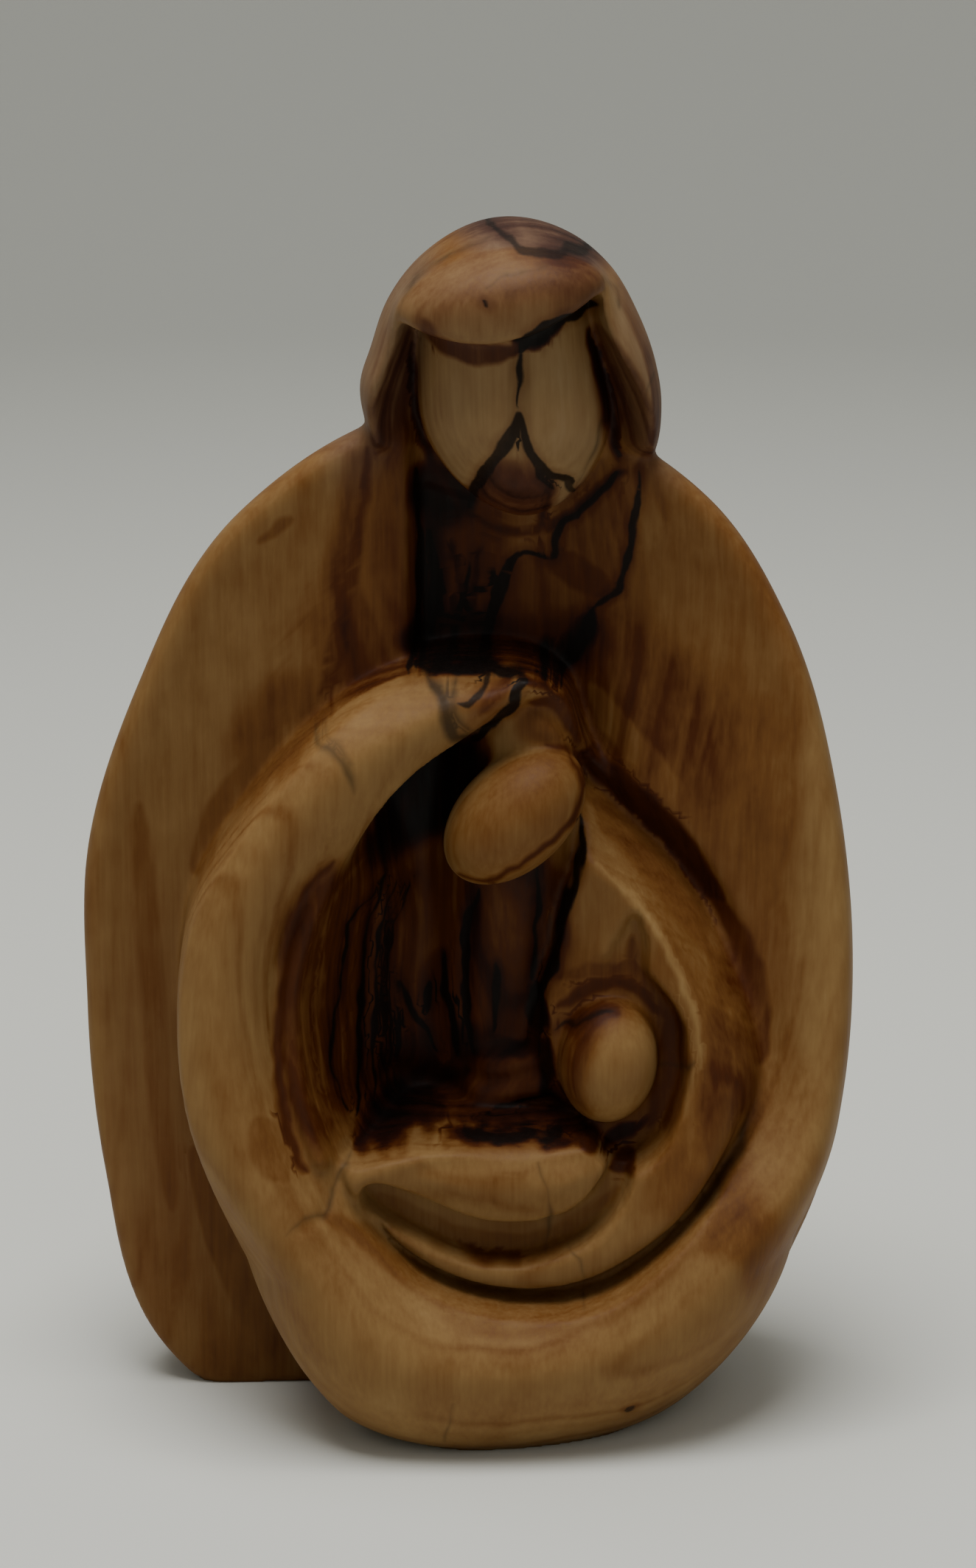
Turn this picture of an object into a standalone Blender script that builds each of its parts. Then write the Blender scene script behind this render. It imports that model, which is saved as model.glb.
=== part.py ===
"""Holy family group, carved from one block of olive wood and stood on its sawn base.

Blender 4.5. Every form is written in carver's units, 120 to the height of the carving, in x to the
viewer's right, y to the back and z up. "Proud" is how far a surface stands towards the viewer, so it
is the same as -y. The carving is one closed surface: the zero level of the function carved() below,
which is negative in the wood and positive in the air.
"""
import bpy
import numpy as np

HEIGHT = 0.120              # floor to the crown of the hood, in metres
UNIT = HEIGHT / 120         # one carver's unit, in metres
CELL = 1.0                  # spacing of the grid that the surface is read from, in units
BOX_LOW = (-42.5, -30.5, -2.5)
BOX_HIGH = (42.5, 26.5, 124.5)
FLAT_BELOW = 0.35           # what is lower than this is the sawn base
PINCH_FILL = -0.05          # how deep a filled pinch is in the wood, in units
FACES = 9400                # triangles left after thinning
WOOD_COLOUR = (0.52, 0.31, 0.11, 1.0)
WOOD_ROUGHNESS = 0.42

# The block's own outline, seen from the front: degrees round its middle (0 is right, 90 is up), radius.
BLOCK_MIDDLE = (0.3, 48.0)
BLOCK_OUTLINE = ((1, 38.2), (25, 39.8), (46, 45.0), (62, 50.1), (90, 54.0), (118, 48.7), (142, 42.0),
                 (166, 39.6), (191, 39.7), (214, 45.3), (233, 54.2), (270, 56.0), (293, 53.0),
                 (317, 46.0), (338, 40.6))
BLOCK_FRONT = 32.0          # bulge of the uncut block towards the viewer
BLOCK_BACK = 21.0           # bulge of the back
BLOCK_EDGE = 2.6            # how square the block's bulge is: 2 is an ellipse
RIM_ROUNDING = 2.6          # where the cloak's face turns into its side

# The loop of cloth in front, and the hollow inside it, as stations round the same middle.
LOOP_MIDDLE = (2.0, 42.0)
HOLLOW_EDGE = ((-131, 22.9), (-118, 23.6), (-102, 25.8), (-86, 27.4), (-68, 28.6), (-50, 28.1), (-33, 28.0),
               (-18, 28.6), (0, 27.4), (22, 26.7), (43, 26.7), (60, 27.2), (68, 27.9), (73, 29.2), (77, 31.2),
               (82, 32.3), (87, 31.6), (95, 29.2), (105, 27.0), (113, 25.3), (124, 23.3), (146, 22.4), (180, 20.8),
               (212, 21.4))
VEIL_EDGE = ((55, 25.5), (68, 27.6), (73, 30.6), (76, 33.2), (80, 34.8), (86, 35.8), (96, 36.0), (112, 34.8),
             (122, 33.3), (141, 31.6), (158, 31.5), (180, 30.7), (209, 31.8), (223, 34.2), (239, 38.4),
             (250, 42.8), (262, 52.0))
CREST_RADIUS = ((-134, 28.6), (-110, 32.6), (-84, 33.5), (-58, 34.8), (-38, 34.4), (-18, 35.0), (0, 36.0),
                (30, 43.0), (60, 52.0), (72, 40.0), (84, 34.4), (100, 31.5), (120, 29.3), (150, 27.5), (180, 26.3),
                (205, 27.0))
CREST_PROUD = ((-134, 22.0), (-110, 23.6), (-90, 24.0), (-58, 21.8), (-38, 18.4), (-18, 14.0), (0, 10.5),
               (27, 7.5), (52, 5.5), (70, 5.5), (80, 10.5), (92, 12.5), (110, 14.5), (140, 16.5), (180, 18.5),
               (205, 20.5))
HOLLOW_EDGE_PROUD = ((-130, 18.5), (-115, 19.0), (-90, 20.0), (-60, 20.0), (-45, 18.0), (-33, 15.0), (-16, 12.2),
                     (-8, 11.0), (10, 8.6), (30, 5.6), (50, 4.2), (68, 4.0), (76, 8.0), (88, 10.5), (106, 12.5),
                     (140, 13.5), (180, 14.5), (205, 16.5))
VALLEY_PROUD = ((-130, 16.8), (-116, 16.2), (-100, 15.8), (-86, 15.8), (-60, 15.6), (-33, 12.6), (-10, 9.6),
                (10, 6.2), (30, 2.6), (50, 1.0), (72, 1.0), (90, 2.0), (115, 2.0), (135, 10.5), (180, 13.0),
                (205, 14.5))
WALL_WIDTH = ((-131, 2.2), (-110, 1.0), (-86, 0.7), (-30, 0.8), (0, 1.2), (13, 2.3), (30, 2.8), (60, 3.4), (72, 2.4),
              (90, 1.0), (115, 1.0), (135, 2.4), (180, 3.0), (205, 3.0))
HOLLOW_FLOOR = 0.0
VEIL_STEP = 1.2             # how wide the step off the veil's outer edge is
CLOAK_LEFT_RIM = 3.2
CLOAK_LEFT_DISH = 1.3
CLOAK_RIGHT = ((25, 15.5, 6.0), (30, 14.0, 5.8), (41, 11.3, 5.2), (53, 8.7, 3.7), (63, 7.2, 3.1), (75, 5.4, 4.8),
               (85, 3.8, 6.6), (97, 2.0, 5.0))    # height, how proud its rim is, how deep its dish
CHEST_EDGE = -5.3           # left edge of the slot down the cloak's chest
CHEST_EDGE_WIDTH = 2.4
CHEST_FLOOR = -2.0
FOOT_MIDDLE = 3.5           # the loop's own footprint on the base, seen from above
FOOT_LEFT = 15.5
FOOT_RIGHT = 17.5
FOOT_FRONT = 19.2
KEEL_HEIGHT = 18.0          # how far up the lower front curves out from the base
KEEL_SWELL = 12.6

# The arm that curls round the child: the line of its ridge, from the shoulder down the right and under.
ARM_RADIUS = ((-123, 21.1), (-105, 22.8), (-84, 24.4), (-59, 24.6), (-45, 25.2), (-33, 24.8), (-17, 23.5),
              (-2, 21.2), (7, 20.3), (15, 19.6), (26, 19.2), (46, 19.0), (61, 19.4), (70, 20.5), (110, 21.0),
              (180, 18.0), (225, 19.5))
ARM_PROUD = ((-135, 17.5), (-112, 17.0), (-90, 17.2), (-62, 17.4), (-41, 16.8), (-20, 15.2), (0, 14.0),
             (24, 12.6), (45, 11.4), (61, 10.6), (72, 8.0), (90, 2.0), (180, 2.0), (212, 14.0))
ARM_SLOPE_IN = ((-130, 0.05), (-60, 0.10), (-10, 0.12), (24, 0.22), (60, 0.28), (90, 0.4), (180, 0.4), (215, 0.1))
ARM_ROUNDING = ((-130, 2.6), (-60, 2.6), (-30, 2.0), (-10, 1.5), (30, 1.2), (70, 1.2), (180, 1.4))

ARM_GROOVE = ((-128, 0.4), (-116, 1.4), (-105, 2.0), (-86, 2.2), (-50, 2.0), (-30, 1.2), (-12, 0.2), (10, 0.0),
              (100, 0.0), (215, 0.0))

# Outlines in the front view, in order round each one.
DEEP_PART = ((10.9, 66.0), (11.2, 61.0), (10.6, 57.0), (9.5, 54.2), (8.8, 51.0), (8.3, 47.6), (7.0, 45.6),
             (7.6, 42.0), (8.0, 38.0), (9.6, 34.6), (12.2, 31.4), (8.6, 30.9), (3.9, 30.5), (-1.0, 31.0),
             (-7.1, 30.6), (-11.6, 29.2), (-17.0, 29.5), (-26.0, 36.0), (-26.0, 66.0), (-10.0, 78.0), (9.0, 78.0))
CHILD_BODY = ((-13.5, 28.6), (-11.0, 29.4), (-7.1, 30.6), (-0.4, 31.1), (6.3, 31.1), (11.0, 31.0), (13.6, 29.6),
              (13.4, 27.2), (11.9, 24.9), (9.2, 23.2), (5.5, 22.5), (2.3, 22.6), (-0.4, 23.2), (-2.8, 24.3),
              (-6.0, 25.7), (-9.3, 27.2))
BODY_GROOVE = ((-9.4, 27.1), (-6.0, 25.6), (-2.8, 24.2), (-0.4, 23.1), (2.3, 22.5), (5.5, 22.4), (9.2, 23.1),
               (11.9, 24.8), (13.6, 27.2), (14.9, 29.6), (15.7, 29.2), (15.1, 26.4), (13.5, 23.9), (11.4, 21.9),
               (8.7, 20.8), (6.3, 19.9), (3.9, 19.6), (1.2, 19.8), (-1.4, 20.5), (-3.6, 21.7), (-6.0, 22.9),
               (-8.1, 24.2), (-10.1, 25.6))
BODY_GROOVE_PROUD = 13.5
HALO = ((7.6, 48.6), (10.6, 49.2), (13.4, 49.1), (17.2, 48.0), (18.9, 46.2), (20.4, 44.1), (21.1, 42.5), (21.3, 40.9),
        (21.2, 39.1), (21.4, 37.5), (21.0, 35.6), (20.2, 33.2), (19.4, 31.2), (17.6, 29.4), (15.2, 28.4), (13.4, 29.8),
        (11.5, 31.8), (9.0, 34.6), (7.6, 38.0), (6.8, 42.0), (6.6, 45.6))
HALO_SPUR = ((13.8, 47.0), (14.6, 50.0), (16.3, 52.9), (16.9, 50.2), (16.8, 47.0))
HANDS = ((1.5, 32.6), (4.5, 33.2), (8.5, 34.6))
SLEEVE = ((2.5, 35.4), (5.5, 36.2), (9.0, 37.4))

HOOD_MIDDLE = (4.2, 104.0)
HOOD_OUTLINE = ((9, 14.1), (30, 14.0), (50, 14.8), (68, 15.5), (93, 16.0), (125, 15.1), (145, 14.5), (166, 14.1),
                (180, 14.7), (195, 14.6), (211, 14.4), (240, 12.5), (270, 12.0), (310, 14.5), (333, 15.4),
                (352, 14.7))

# Rounded forms: middle as x, how proud and height; radii across, in depth and up; degrees of lean.
BROW = ((3.1, 8.6, 113.1), (9.7, 5.6, 4.0), -10)
BROW_BLEND = 3.0
OPENING_HALF = 9.4          # half the hood's opening at its top
OPENING_TOP = 109.6
OPENING_FLOOR = -1.6        # how proud the bottom of the opening is at its middle
OPENING_END = 98.5          # below this the opening runs out to the hood's sides
FACE = ((4.6, 2.0, 102.5), (9.3, 9.6, 11.2))
FACE_TOP = 114.0            # hidden in the brow
VEILED_HEAD = ((4.5, 9.4, 63.0), (5.3, 6.4, 8.2), 46)
CHILD_HEAD = ((13.8, 11.2, 38.4), (4.9, 5.2, 6.3), 6)


def smooth_max(a, b, width):
    """The larger of two fields, with the crease between them rounded over this width."""
    near = np.maximum(width - np.abs(a - b), 0.0) / width
    return np.maximum(a, b) + near * near * width / 4


def smooth_min(a, b, width):
    return -smooth_max(-a, -b, width)


def ease(value):
    """0 below 0, 1 above 1, and an S-curve between."""
    value = np.clip(value, 0.0, 1.0)
    return value * value * (3 - 2 * value)


def smooth_curve(at, value, places):
    """The value at these places of a smooth curve through values at rising stations."""
    slope = np.gradient(value, at)
    places = np.clip(places, at[0], at[-1])
    i = np.clip(np.searchsorted(at, places, side="right") - 1, 0, len(at) - 2)
    span = at[i + 1] - at[i]
    s = (places - at[i]) / span
    return (value[i] * (1 + 2 * s) * (1 - s) ** 2 + slope[i] * span * s * (1 - s) ** 2
            + value[i + 1] * s * s * (3 - 2 * s) + slope[i + 1] * span * s * s * (s - 1))


def round_the_clock(stations, degrees):
    """The value at these angles of a smooth closed curve through (degrees, value) stations."""
    angle, value = np.array(sorted((a % 360, v) for a, v in stations), float).T
    angle = np.concatenate([angle[-2:] - 360, angle, angle[:2] + 360])
    value = np.concatenate([value[-2:], value, value[:2]])
    table = np.arange(0.0, 361.0)
    return np.interp(degrees % 360, table, smooth_curve(angle, value, table))


def clock(x, z, middle):
    """Radius and degrees of points in the front view, round a middle."""
    dx, dz = x - middle[0], z - middle[1]
    return np.hypot(dx, dz), np.degrees(np.arctan2(dz, dx))


def bulged(x, y, z, middle, outline, front, back, edge, depth_middle=0.0):
    """Distance, roughly, to an outline in the front view that bulges by front and back at its middle."""
    r, degrees = clock(x, z, middle)
    reach = round_the_clock(outline, degrees)
    rho = r / reach
    half = np.where(y < depth_middle, front, back)
    eta = np.abs(y - depth_middle) / half
    value = rho ** edge + eta ** 2.2
    steep = np.hypot(edge * rho ** (edge - 1) / reach, 2.2 * eta ** 1.2 / half)
    return (value - 1) / np.maximum(steep, 0.02)


def ellipsoid(x, y, z, centre, radii, lean=0.0):
    """Distance, roughly, to an ellipsoid at (x, proud, z), leaning by degrees to the right."""
    turn = np.radians(lean)
    dx, dy, dz = x - centre[0], y + centre[1], z - centre[2]
    across = dx * np.cos(turn) - dz * np.sin(turn)
    along = dx * np.sin(turn) + dz * np.cos(turn)
    a, b, c = radii
    k0 = np.sqrt((across / a) ** 2 + (dy / b) ** 2 + (along / c) ** 2)
    k1 = np.sqrt((across / a ** 2) ** 2 + (dy / b ** 2) ** 2 + (along / c ** 2) ** 2)
    return k0 * (k0 - 1) / np.maximum(k1, 1e-6)


def along_line(x, z, points):
    """Distance to a line through points of the front view, and the share of the way along it."""
    points = np.array(points, float)
    steps = np.linalg.norm(np.diff(points, axis=0), axis=1)
    starts = np.concatenate([[0.0], np.cumsum(steps)])
    best = np.full(np.broadcast(x, z).shape, 1e9)
    share = np.zeros(best.shape)
    for (ax, az), (bx, bz), start, step in zip(points[:-1], points[1:], starts, steps):
        s = np.clip(((x - ax) * (bx - ax) + (z - az) * (bz - az)) / step ** 2, 0, 1)
        d = np.hypot(x - ax - s * (bx - ax), z - az - s * (bz - az))
        share = np.where(d < best, (start + s * step) / starts[-1], share)
        best = np.minimum(best, d)
    return best, share


def depth_inside(x, z, outline, rounds=2):
    """Distance in from a closed outline of the front view, negative outside, with its corners cut off."""
    points = np.array(outline, float)
    for _ in range(rounds):
        following = np.roll(points, -1, axis=0)
        points = np.stack([0.75 * points + 0.25 * following, 0.25 * points + 0.75 * following], axis=1)
        points = points.reshape(-1, 2)
    shape = np.broadcast(x, z).shape
    nearest = np.full(shape, 1e9)
    inside = np.zeros(shape, bool)
    for (ax, az), (bx, bz) in zip(points, np.roll(points, -1, axis=0)):
        s = np.clip(((x - ax) * (bx - ax) + (z - az) * (bz - az)) / ((bx - ax) ** 2 + (bz - az) ** 2), 0, 1)
        nearest = np.minimum(nearest, np.hypot(x - ax - s * (bx - ax), z - az - s * (bz - az)))
        if az != bz:
            crossed = ((az > z) != (bz > z)) & (x < ax + (z - az) * (bx - ax) / (bz - az))
            inside = inside ^ crossed
    return np.where(inside, nearest, -nearest)


def cloak_face(x, z):
    """How proud the cloak's hollowed face stands: dished on the left, deeper down the chest and right."""
    r, degrees = clock(x, z, BLOCK_MIDDLE)
    out = np.clip((r / round_the_clock(BLOCK_OUTLINE, degrees) - 0.5) / 0.5, 0, 1)
    left = CLOAK_LEFT_RIM - CLOAK_LEFT_DISH * 4 * out * (1 - out)
    height, rim, dish = np.array(CLOAK_RIGHT).T
    right = smooth_curve(height, rim, z) - smooth_curve(height, dish, z) * (1 - out ** 1.6)
    floor = CHEST_FLOOR + 0.04 * np.maximum(x - 5, 0) ** 2
    chest = smooth_min(right, floor, 1.5)
    right = right + (chest - right) * ease((z - 60) / 10)
    return left + (right - left) * ease((x - CHEST_EDGE) / CHEST_EDGE_WIDTH + 0.5)


def loop_face(x, z):
    """How proud the loop of cloth stands: from the hollow's edge over its crest, then off its far side."""
    r, degrees = clock(x, z, LOOP_MIDDLE)
    edge = round_the_clock(HOLLOW_EDGE, degrees)
    edge_proud = round_the_clock(HOLLOW_EDGE_PROUD, degrees)
    crest = round_the_clock(CREST_RADIUS, degrees)
    crest_proud = round_the_clock(CREST_PROUD, degrees)
    s = np.clip((r - edge) / (crest - edge), 0, 3)
    climb = 1 - (1 - np.minimum(s, 1)) ** 2
    fall = np.maximum(s - 1, 0) ** 2 * (4.0 - 2.2 * ease((degrees + 125) / 30) * (degrees < 0))
    return edge_proud + (crest_proud - edge_proud) * climb - fall


def arm_face(x, z):
    """The arm round the child: a ridge, a gentle slope inside it and a hollowed one outside it."""
    r, degrees = clock(x, z, LOOP_MIDDLE)
    edge = round_the_clock(HOLLOW_EDGE, degrees) - round_the_clock(WALL_WIDTH, degrees)
    valley = round_the_clock(VALLEY_PROUD, degrees)
    crest = round_the_clock(ARM_RADIUS, degrees)
    proud = round_the_clock(ARM_PROUD, degrees)
    inward = proud - round_the_clock(ARM_SLOPE_IN, degrees) * (crest - r)
    share = np.clip((r - crest) / np.maximum(edge - crest, 0.5), 0, 1)
    outward = proud - (proud - valley) * share ** round_the_clock(ARM_ROUNDING, degrees)
    outward = outward - round_the_clock(ARM_GROOVE, degrees) * ease((share - 0.5) / 0.2)
    return np.where(r < crest, inward, outward)


def deep_face(x, z):
    """The deepest part: a bowl behind the robe, the robe hanging in it, and two hands over the child."""
    r, degrees = clock(x, z, LOOP_MIDDLE)
    edge = round_the_clock(HOLLOW_EDGE, degrees) - round_the_clock(WALL_WIDTH, degrees)
    valley = np.maximum(round_the_clock(VALLEY_PROUD, degrees), 2.0)
    bowl = HOLLOW_FLOOR + (valley - HOLLOW_FLOOR) * np.clip(r / edge, 0, 1.2) ** 2.6
    down = np.clip((62 - z) / 32, -0.3, 1)
    robe = 8.6 - 5.0 * down - 6.0 * ((x - 5.8 + 3.2 * down) / (8.0 + 1.5 * down)) ** 2
    face = smooth_max(bowl, robe, 2.5)
    pocket = 3.2 * np.exp(-((x + 7.5 + 0.9 * (z - 33)) / 4.5) ** 2 - ((z - 33) / 4.0) ** 2)
    face = face - pocket
    for points, proud, half in (HANDS, 6.4, 1.5), (SLEEVE, 6.2, 1.6):
        d, s = along_line(x, z, points)
        face = smooth_max(face, proud + 1.2 * s - 1.2 * (d / half) ** 2, 1.2)
    return face


def hollow_face(x, z):
    """How proud the inside of the hollow stands."""
    arm = arm_face(x, z)
    deep = deep_face(x, z)
    face = arm + (deep - arm) * ease(depth_inside(x, z, DEEP_PART) / 1.1 + 0.5)
    inside = depth_inside(x, z, CHILD_BODY)
    dome = 13.0 + 4.6 * np.sqrt(1 - (1 - np.clip(inside / 4.2, 0, 1)) ** 2) + np.minimum(inside, 0) * 8
    face = smooth_max(face, dome, 0.6)
    cut = BODY_GROOVE_PROUD - 5.0 * np.minimum(depth_inside(x, z, BODY_GROOVE) + 0.3, 0)
    face = smooth_min(face, cut, 0.4)
    nest = depth_inside(x, z, HALO)
    floor = 10.4 - 5.0 * np.minimum(nest - 0.4, 0)
    face = smooth_min(face, floor, 0.4)
    under_head = 9.0 - 2.0 * np.maximum(np.hypot((x - 13.4) / 5.5, (z - 38.6) / 6.6) - 1, 0) * 5
    face = smooth_max(face, under_head, 1.0)
    spur = 10.2 - 6.0 * np.minimum(depth_inside(x, z, HALO_SPUR, rounds=0) + 0.4, 0)
    return smooth_min(face, spur, 0.3)


def relief(x, z):
    """How proud the carved front stands at a point of the front view."""
    r, degrees = clock(x, z, LOOP_MIDDLE)
    edge = round_the_clock(HOLLOW_EDGE, degrees)
    wall = round_the_clock(WALL_WIDTH, degrees)
    into_wall = np.clip((r - edge + wall) / wall, 0, 1)
    crisp = ease((80 - np.abs(degrees + 10)) / 20)
    into_wall = ease(into_wall) + (into_wall - ease(into_wall)) * crisp
    veil = round_the_clock(VEIL_EDGE, degrees)
    past_veil = ease((r - veil) / VEIL_STEP + 0.5) * ((degrees > 50) | (degrees < -98))
    right = ease((degrees + 38) / 34) * (degrees <= 50) * (degrees > -98)
    outer = loop_face(x, z)
    outer = outer + (cloak_face(x, z) - outer) * np.maximum(past_veil, right)
    inner = hollow_face(x, z)
    return inner + (outer - inner) * into_wall


def relief_field(x, y, z):
    """Distance, roughly, to the relief: its height over the point, divided by its slope."""
    h = 0.25
    here = relief(x, z)
    slope_x = (relief(x + h, z) - relief(x - h, z)) / (2 * h)
    slope_z = (relief(x, z + h) - relief(x, z - h)) / (2 * h)
    return (-y - here) / np.sqrt(1 + slope_x ** 2 + slope_z ** 2)


def hood(x, y, z):
    """The older figure's hood, opened in front round a blank face, with a thick fold over the brow."""
    shell = bulged(x, y, z, HOOD_MIDDLE, HOOD_OUTLINE, 14.0, 14.0, 2.3, depth_middle=-0.5)
    shell = smooth_min(shell, ellipsoid(x, y, z, *BROW), BROW_BLEND)
    middle = HOOD_MIDDLE[0] - 0.07 * (z - 99)
    half = OPENING_HALF + 4.9 * ease((113 - z) / 14) + 9.0 * ease((OPENING_END - z) / 3)
    across = np.abs(x - middle) / half
    top = OPENING_TOP + 0.034 * (x - 0.9) ** 2
    into = np.maximum(across - 1, (z - top) / 9.0) * 9.0
    floor = OPENING_FLOOR + 9.0 * np.clip(across, 0, 1.3) ** 3
    cut = smooth_max(into, floor + y, 1.0)
    shell = smooth_max(shell, -cut, 0.7)
    (middle_x, proud, middle_z), (radius_x, radius_y, radius_z) = FACE
    above = ease((z - 100) / 14)
    face_x = (x - middle_x + 0.10 * (z - 100)) / (radius_x - 0.7 * above)
    face_y = (y + proud) / radius_y
    face_z = (z - middle_z) / radius_z
    k = np.abs(face_x) ** 1.7 + np.abs(face_y) ** 1.8 + np.where(z < middle_z, np.abs(face_z) ** 1.9, 0.0)
    face = (np.maximum(k, 1e-9) ** 0.45 - 1) * 8.5
    face = smooth_max(face, z - FACE_TOP, 1.0)
    return smooth_min(shell, face, 0.5)


def keel(x, y, z):
    """Distance, roughly, past the lower front: an egg that stands on a smaller footprint."""
    across = np.abs(x - FOOT_MIDDLE) / np.where(x < FOOT_MIDDLE, FOOT_LEFT, FOOT_RIGHT)
    ahead = np.maximum(-y, 0.0) / FOOT_FRONT
    k = np.hypot(across, ahead) + 1e-6
    outside = (1 - 1 / k) * np.hypot(x - FOOT_MIDDLE, y)
    rise = np.clip(z / KEEL_HEIGHT, 0, 1)
    swell = KEEL_SWELL * (1 - (1 - rise) ** 2 + 1e-6) ** 0.6 + 0.5 * np.maximum(z - KEEL_HEIGHT, 0)
    return smooth_min(outside - swell, -y - 3.5, 2.0)


def carved(x, y, z):
    """Negative in the wood, positive in the air."""
    block = bulged(x, y, z, BLOCK_MIDDLE, BLOCK_OUTLINE, BLOCK_FRONT, BLOCK_BACK, BLOCK_EDGE)
    body = smooth_max(block, relief_field(x, y, z), RIM_ROUNDING)
    body = smooth_max(body, keel(x, y, z), 2.0)
    body = smooth_min(body, hood(x, y, z), 1.2)
    for head in VEILED_HEAD, CHILD_HEAD:
        body = smooth_min(body, ellipsoid(x, y, z, *head), 0.6)
    return smooth_max(body, -z, 0.8)


def filled(field):
    """The field without pinches: no cell's side has only two opposite corners of wood, and no bubble."""
    field = np.array(field)
    while True:
        pinched = 0
        for axis in range(3):
            side = np.moveaxis(field, axis, 0)
            a, b, c, d = side[:, :-1, :-1], side[:, 1:, :-1], side[:, :-1, 1:], side[:, 1:, 1:]
            for one, two, other, another in ((a, d, b, c), (b, c, a, d)):
                cross = (one < 0) & (two < 0) & (other >= 0) & (another >= 0)
                pinched += cross.sum()
                other[cross] = PINCH_FILL
        wood = field < 0
        lone = ~wood[1:-1, 1:-1, 1:-1]
        for axis in range(3):
            for side in (slice(0, -2), slice(2, None)):
                window = [slice(1, -1)] * 3
                window[axis] = side
                lone = lone & wood[tuple(window)]
        pinched += lone.sum()
        field[1:-1, 1:-1, 1:-1][lone] = PINCH_FILL
        if not pinched:
            return field


def surface_nets(field, low, cell):
    """Points and outward-facing quads of the zero level of a field on a grid of cells."""
    inside = field < 0
    corner = [slice(0, -1), slice(1, None)]
    corners = np.stack([inside[corner[i], corner[j], corner[k]] for i in (0, 1) for j in (0, 1) for k in (0, 1)])
    mixed = corners.any(0) & ~corners.all(0)
    cells = np.argwhere(mixed)
    index = np.full(mixed.shape, -1)
    index[mixed] = np.arange(len(cells))
    total = np.zeros((len(cells), 3))
    count = np.zeros((len(cells), 1))
    for axis in range(3):
        one, other = [a for a in range(3) if a != axis]
        for shift in ((0, 0), (0, 1), (1, 0), (1, 1)):
            start = cells.copy()
            start[:, one] += shift[0]
            start[:, other] += shift[1]
            end = start.copy()
            end[:, axis] += 1
            here, there = field[tuple(start.T)], field[tuple(end.T)]
            crosses = (here < 0) != (there < 0)
            point = (start - cells).astype(float)
            point[:, axis] += np.where(crosses, here / np.where(crosses, here - there, 1.0), 0.0)
            total += point * crosses[:, None]
            count += crosses[:, None]
    points = (cells + total / count) * cell + low
    quads = []
    for axis in range(3):
        one, other = (axis + 1) % 3, (axis + 2) % 3
        lower, upper = [slice(None)] * 3, [slice(None)] * 3
        lower[axis], upper[axis] = corner
        edge = np.argwhere(inside[tuple(lower)] != inside[tuple(upper)])
        ring = []
        for shift in ((1, 1), (0, 1), (0, 0), (1, 0)):
            near = edge.copy()
            near[:, one] -= shift[0]
            near[:, other] -= shift[1]
            ring.append(index[tuple(near.T)])
        quad = np.stack(ring, axis=1)
        turned = ~inside[tuple(edge.T)]
        quad[turned] = quad[turned][:, ::-1]
        quads.append(quad)
    return points, np.concatenate(quads)


def grid(low, high, cell):
    """Three open axes of a grid of points that holds a box."""
    return np.ogrid[tuple(slice(a, b + cell, cell) for a, b in zip(low, high))]


def carve(name):
    """One closed mesh of the carving, thinned to the faces that its form needs."""
    low, high = np.array(BOX_LOW), np.array(BOX_HIGH)
    axes = grid(low, high, CELL)
    field = np.broadcast_to(carved(*axes), [a.size for a in axes])
    points, quads = surface_nets(filled(field), low, CELL)
    points[:, 2] = np.where(points[:, 2] < FLAT_BELOW, 0.0, points[:, 2])
    middle = (points.min(axis=0) + points.max(axis=0)) / 2
    points[:, :2] -= middle[:2]
    points = np.round(points, 4) * UNIT
    mesh = bpy.data.meshes.new(name)
    mesh.from_pydata(points.tolist(), [], quads.tolist())
    mesh.update()
    return mesh


def olive_wood():
    """Oiled olive wood, in its mean colour."""
    material = bpy.data.materials.new("olive_wood")
    material.use_nodes = True
    shader = material.node_tree.nodes["Principled BSDF"]
    shader.inputs["Base Color"].default_value = WOOD_COLOUR
    shader.inputs["Roughness"].default_value = WOOD_ROUGHNESS
    shader.inputs["Metallic"].default_value = 0.0
    return material


def build():
    for old in list(bpy.data.objects):
        bpy.data.objects.remove(old, do_unlink=True)
    mesh = carve("holy_family_carving")
    mesh.materials.append(olive_wood())
    carving = bpy.data.objects.new("holy_family_carving", mesh)
    bpy.context.scene.collection.objects.link(carving)
    thin = carving.modifiers.new("thin", "DECIMATE")
    thin.decimate_type = "COLLAPSE"
    thin.use_collapse_triangulate = True
    thin.ratio = FACES / (2 * len(mesh.polygons))


build()
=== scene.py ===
"""Looks of the holy family carving: one block of olive wood, carved, sanded and oiled.

Blender 4.5, laid out as an add-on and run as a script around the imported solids. The form is written in
carver's units, 120 to the height of the carving, in x to the viewer's right, y to the back and z up.
"Proud" is how far a surface stands towards the viewer, the same as -y. The carving is one closed
surface: the zero level of the function carved() below, negative in the wood and positive in the air.
"""

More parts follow.
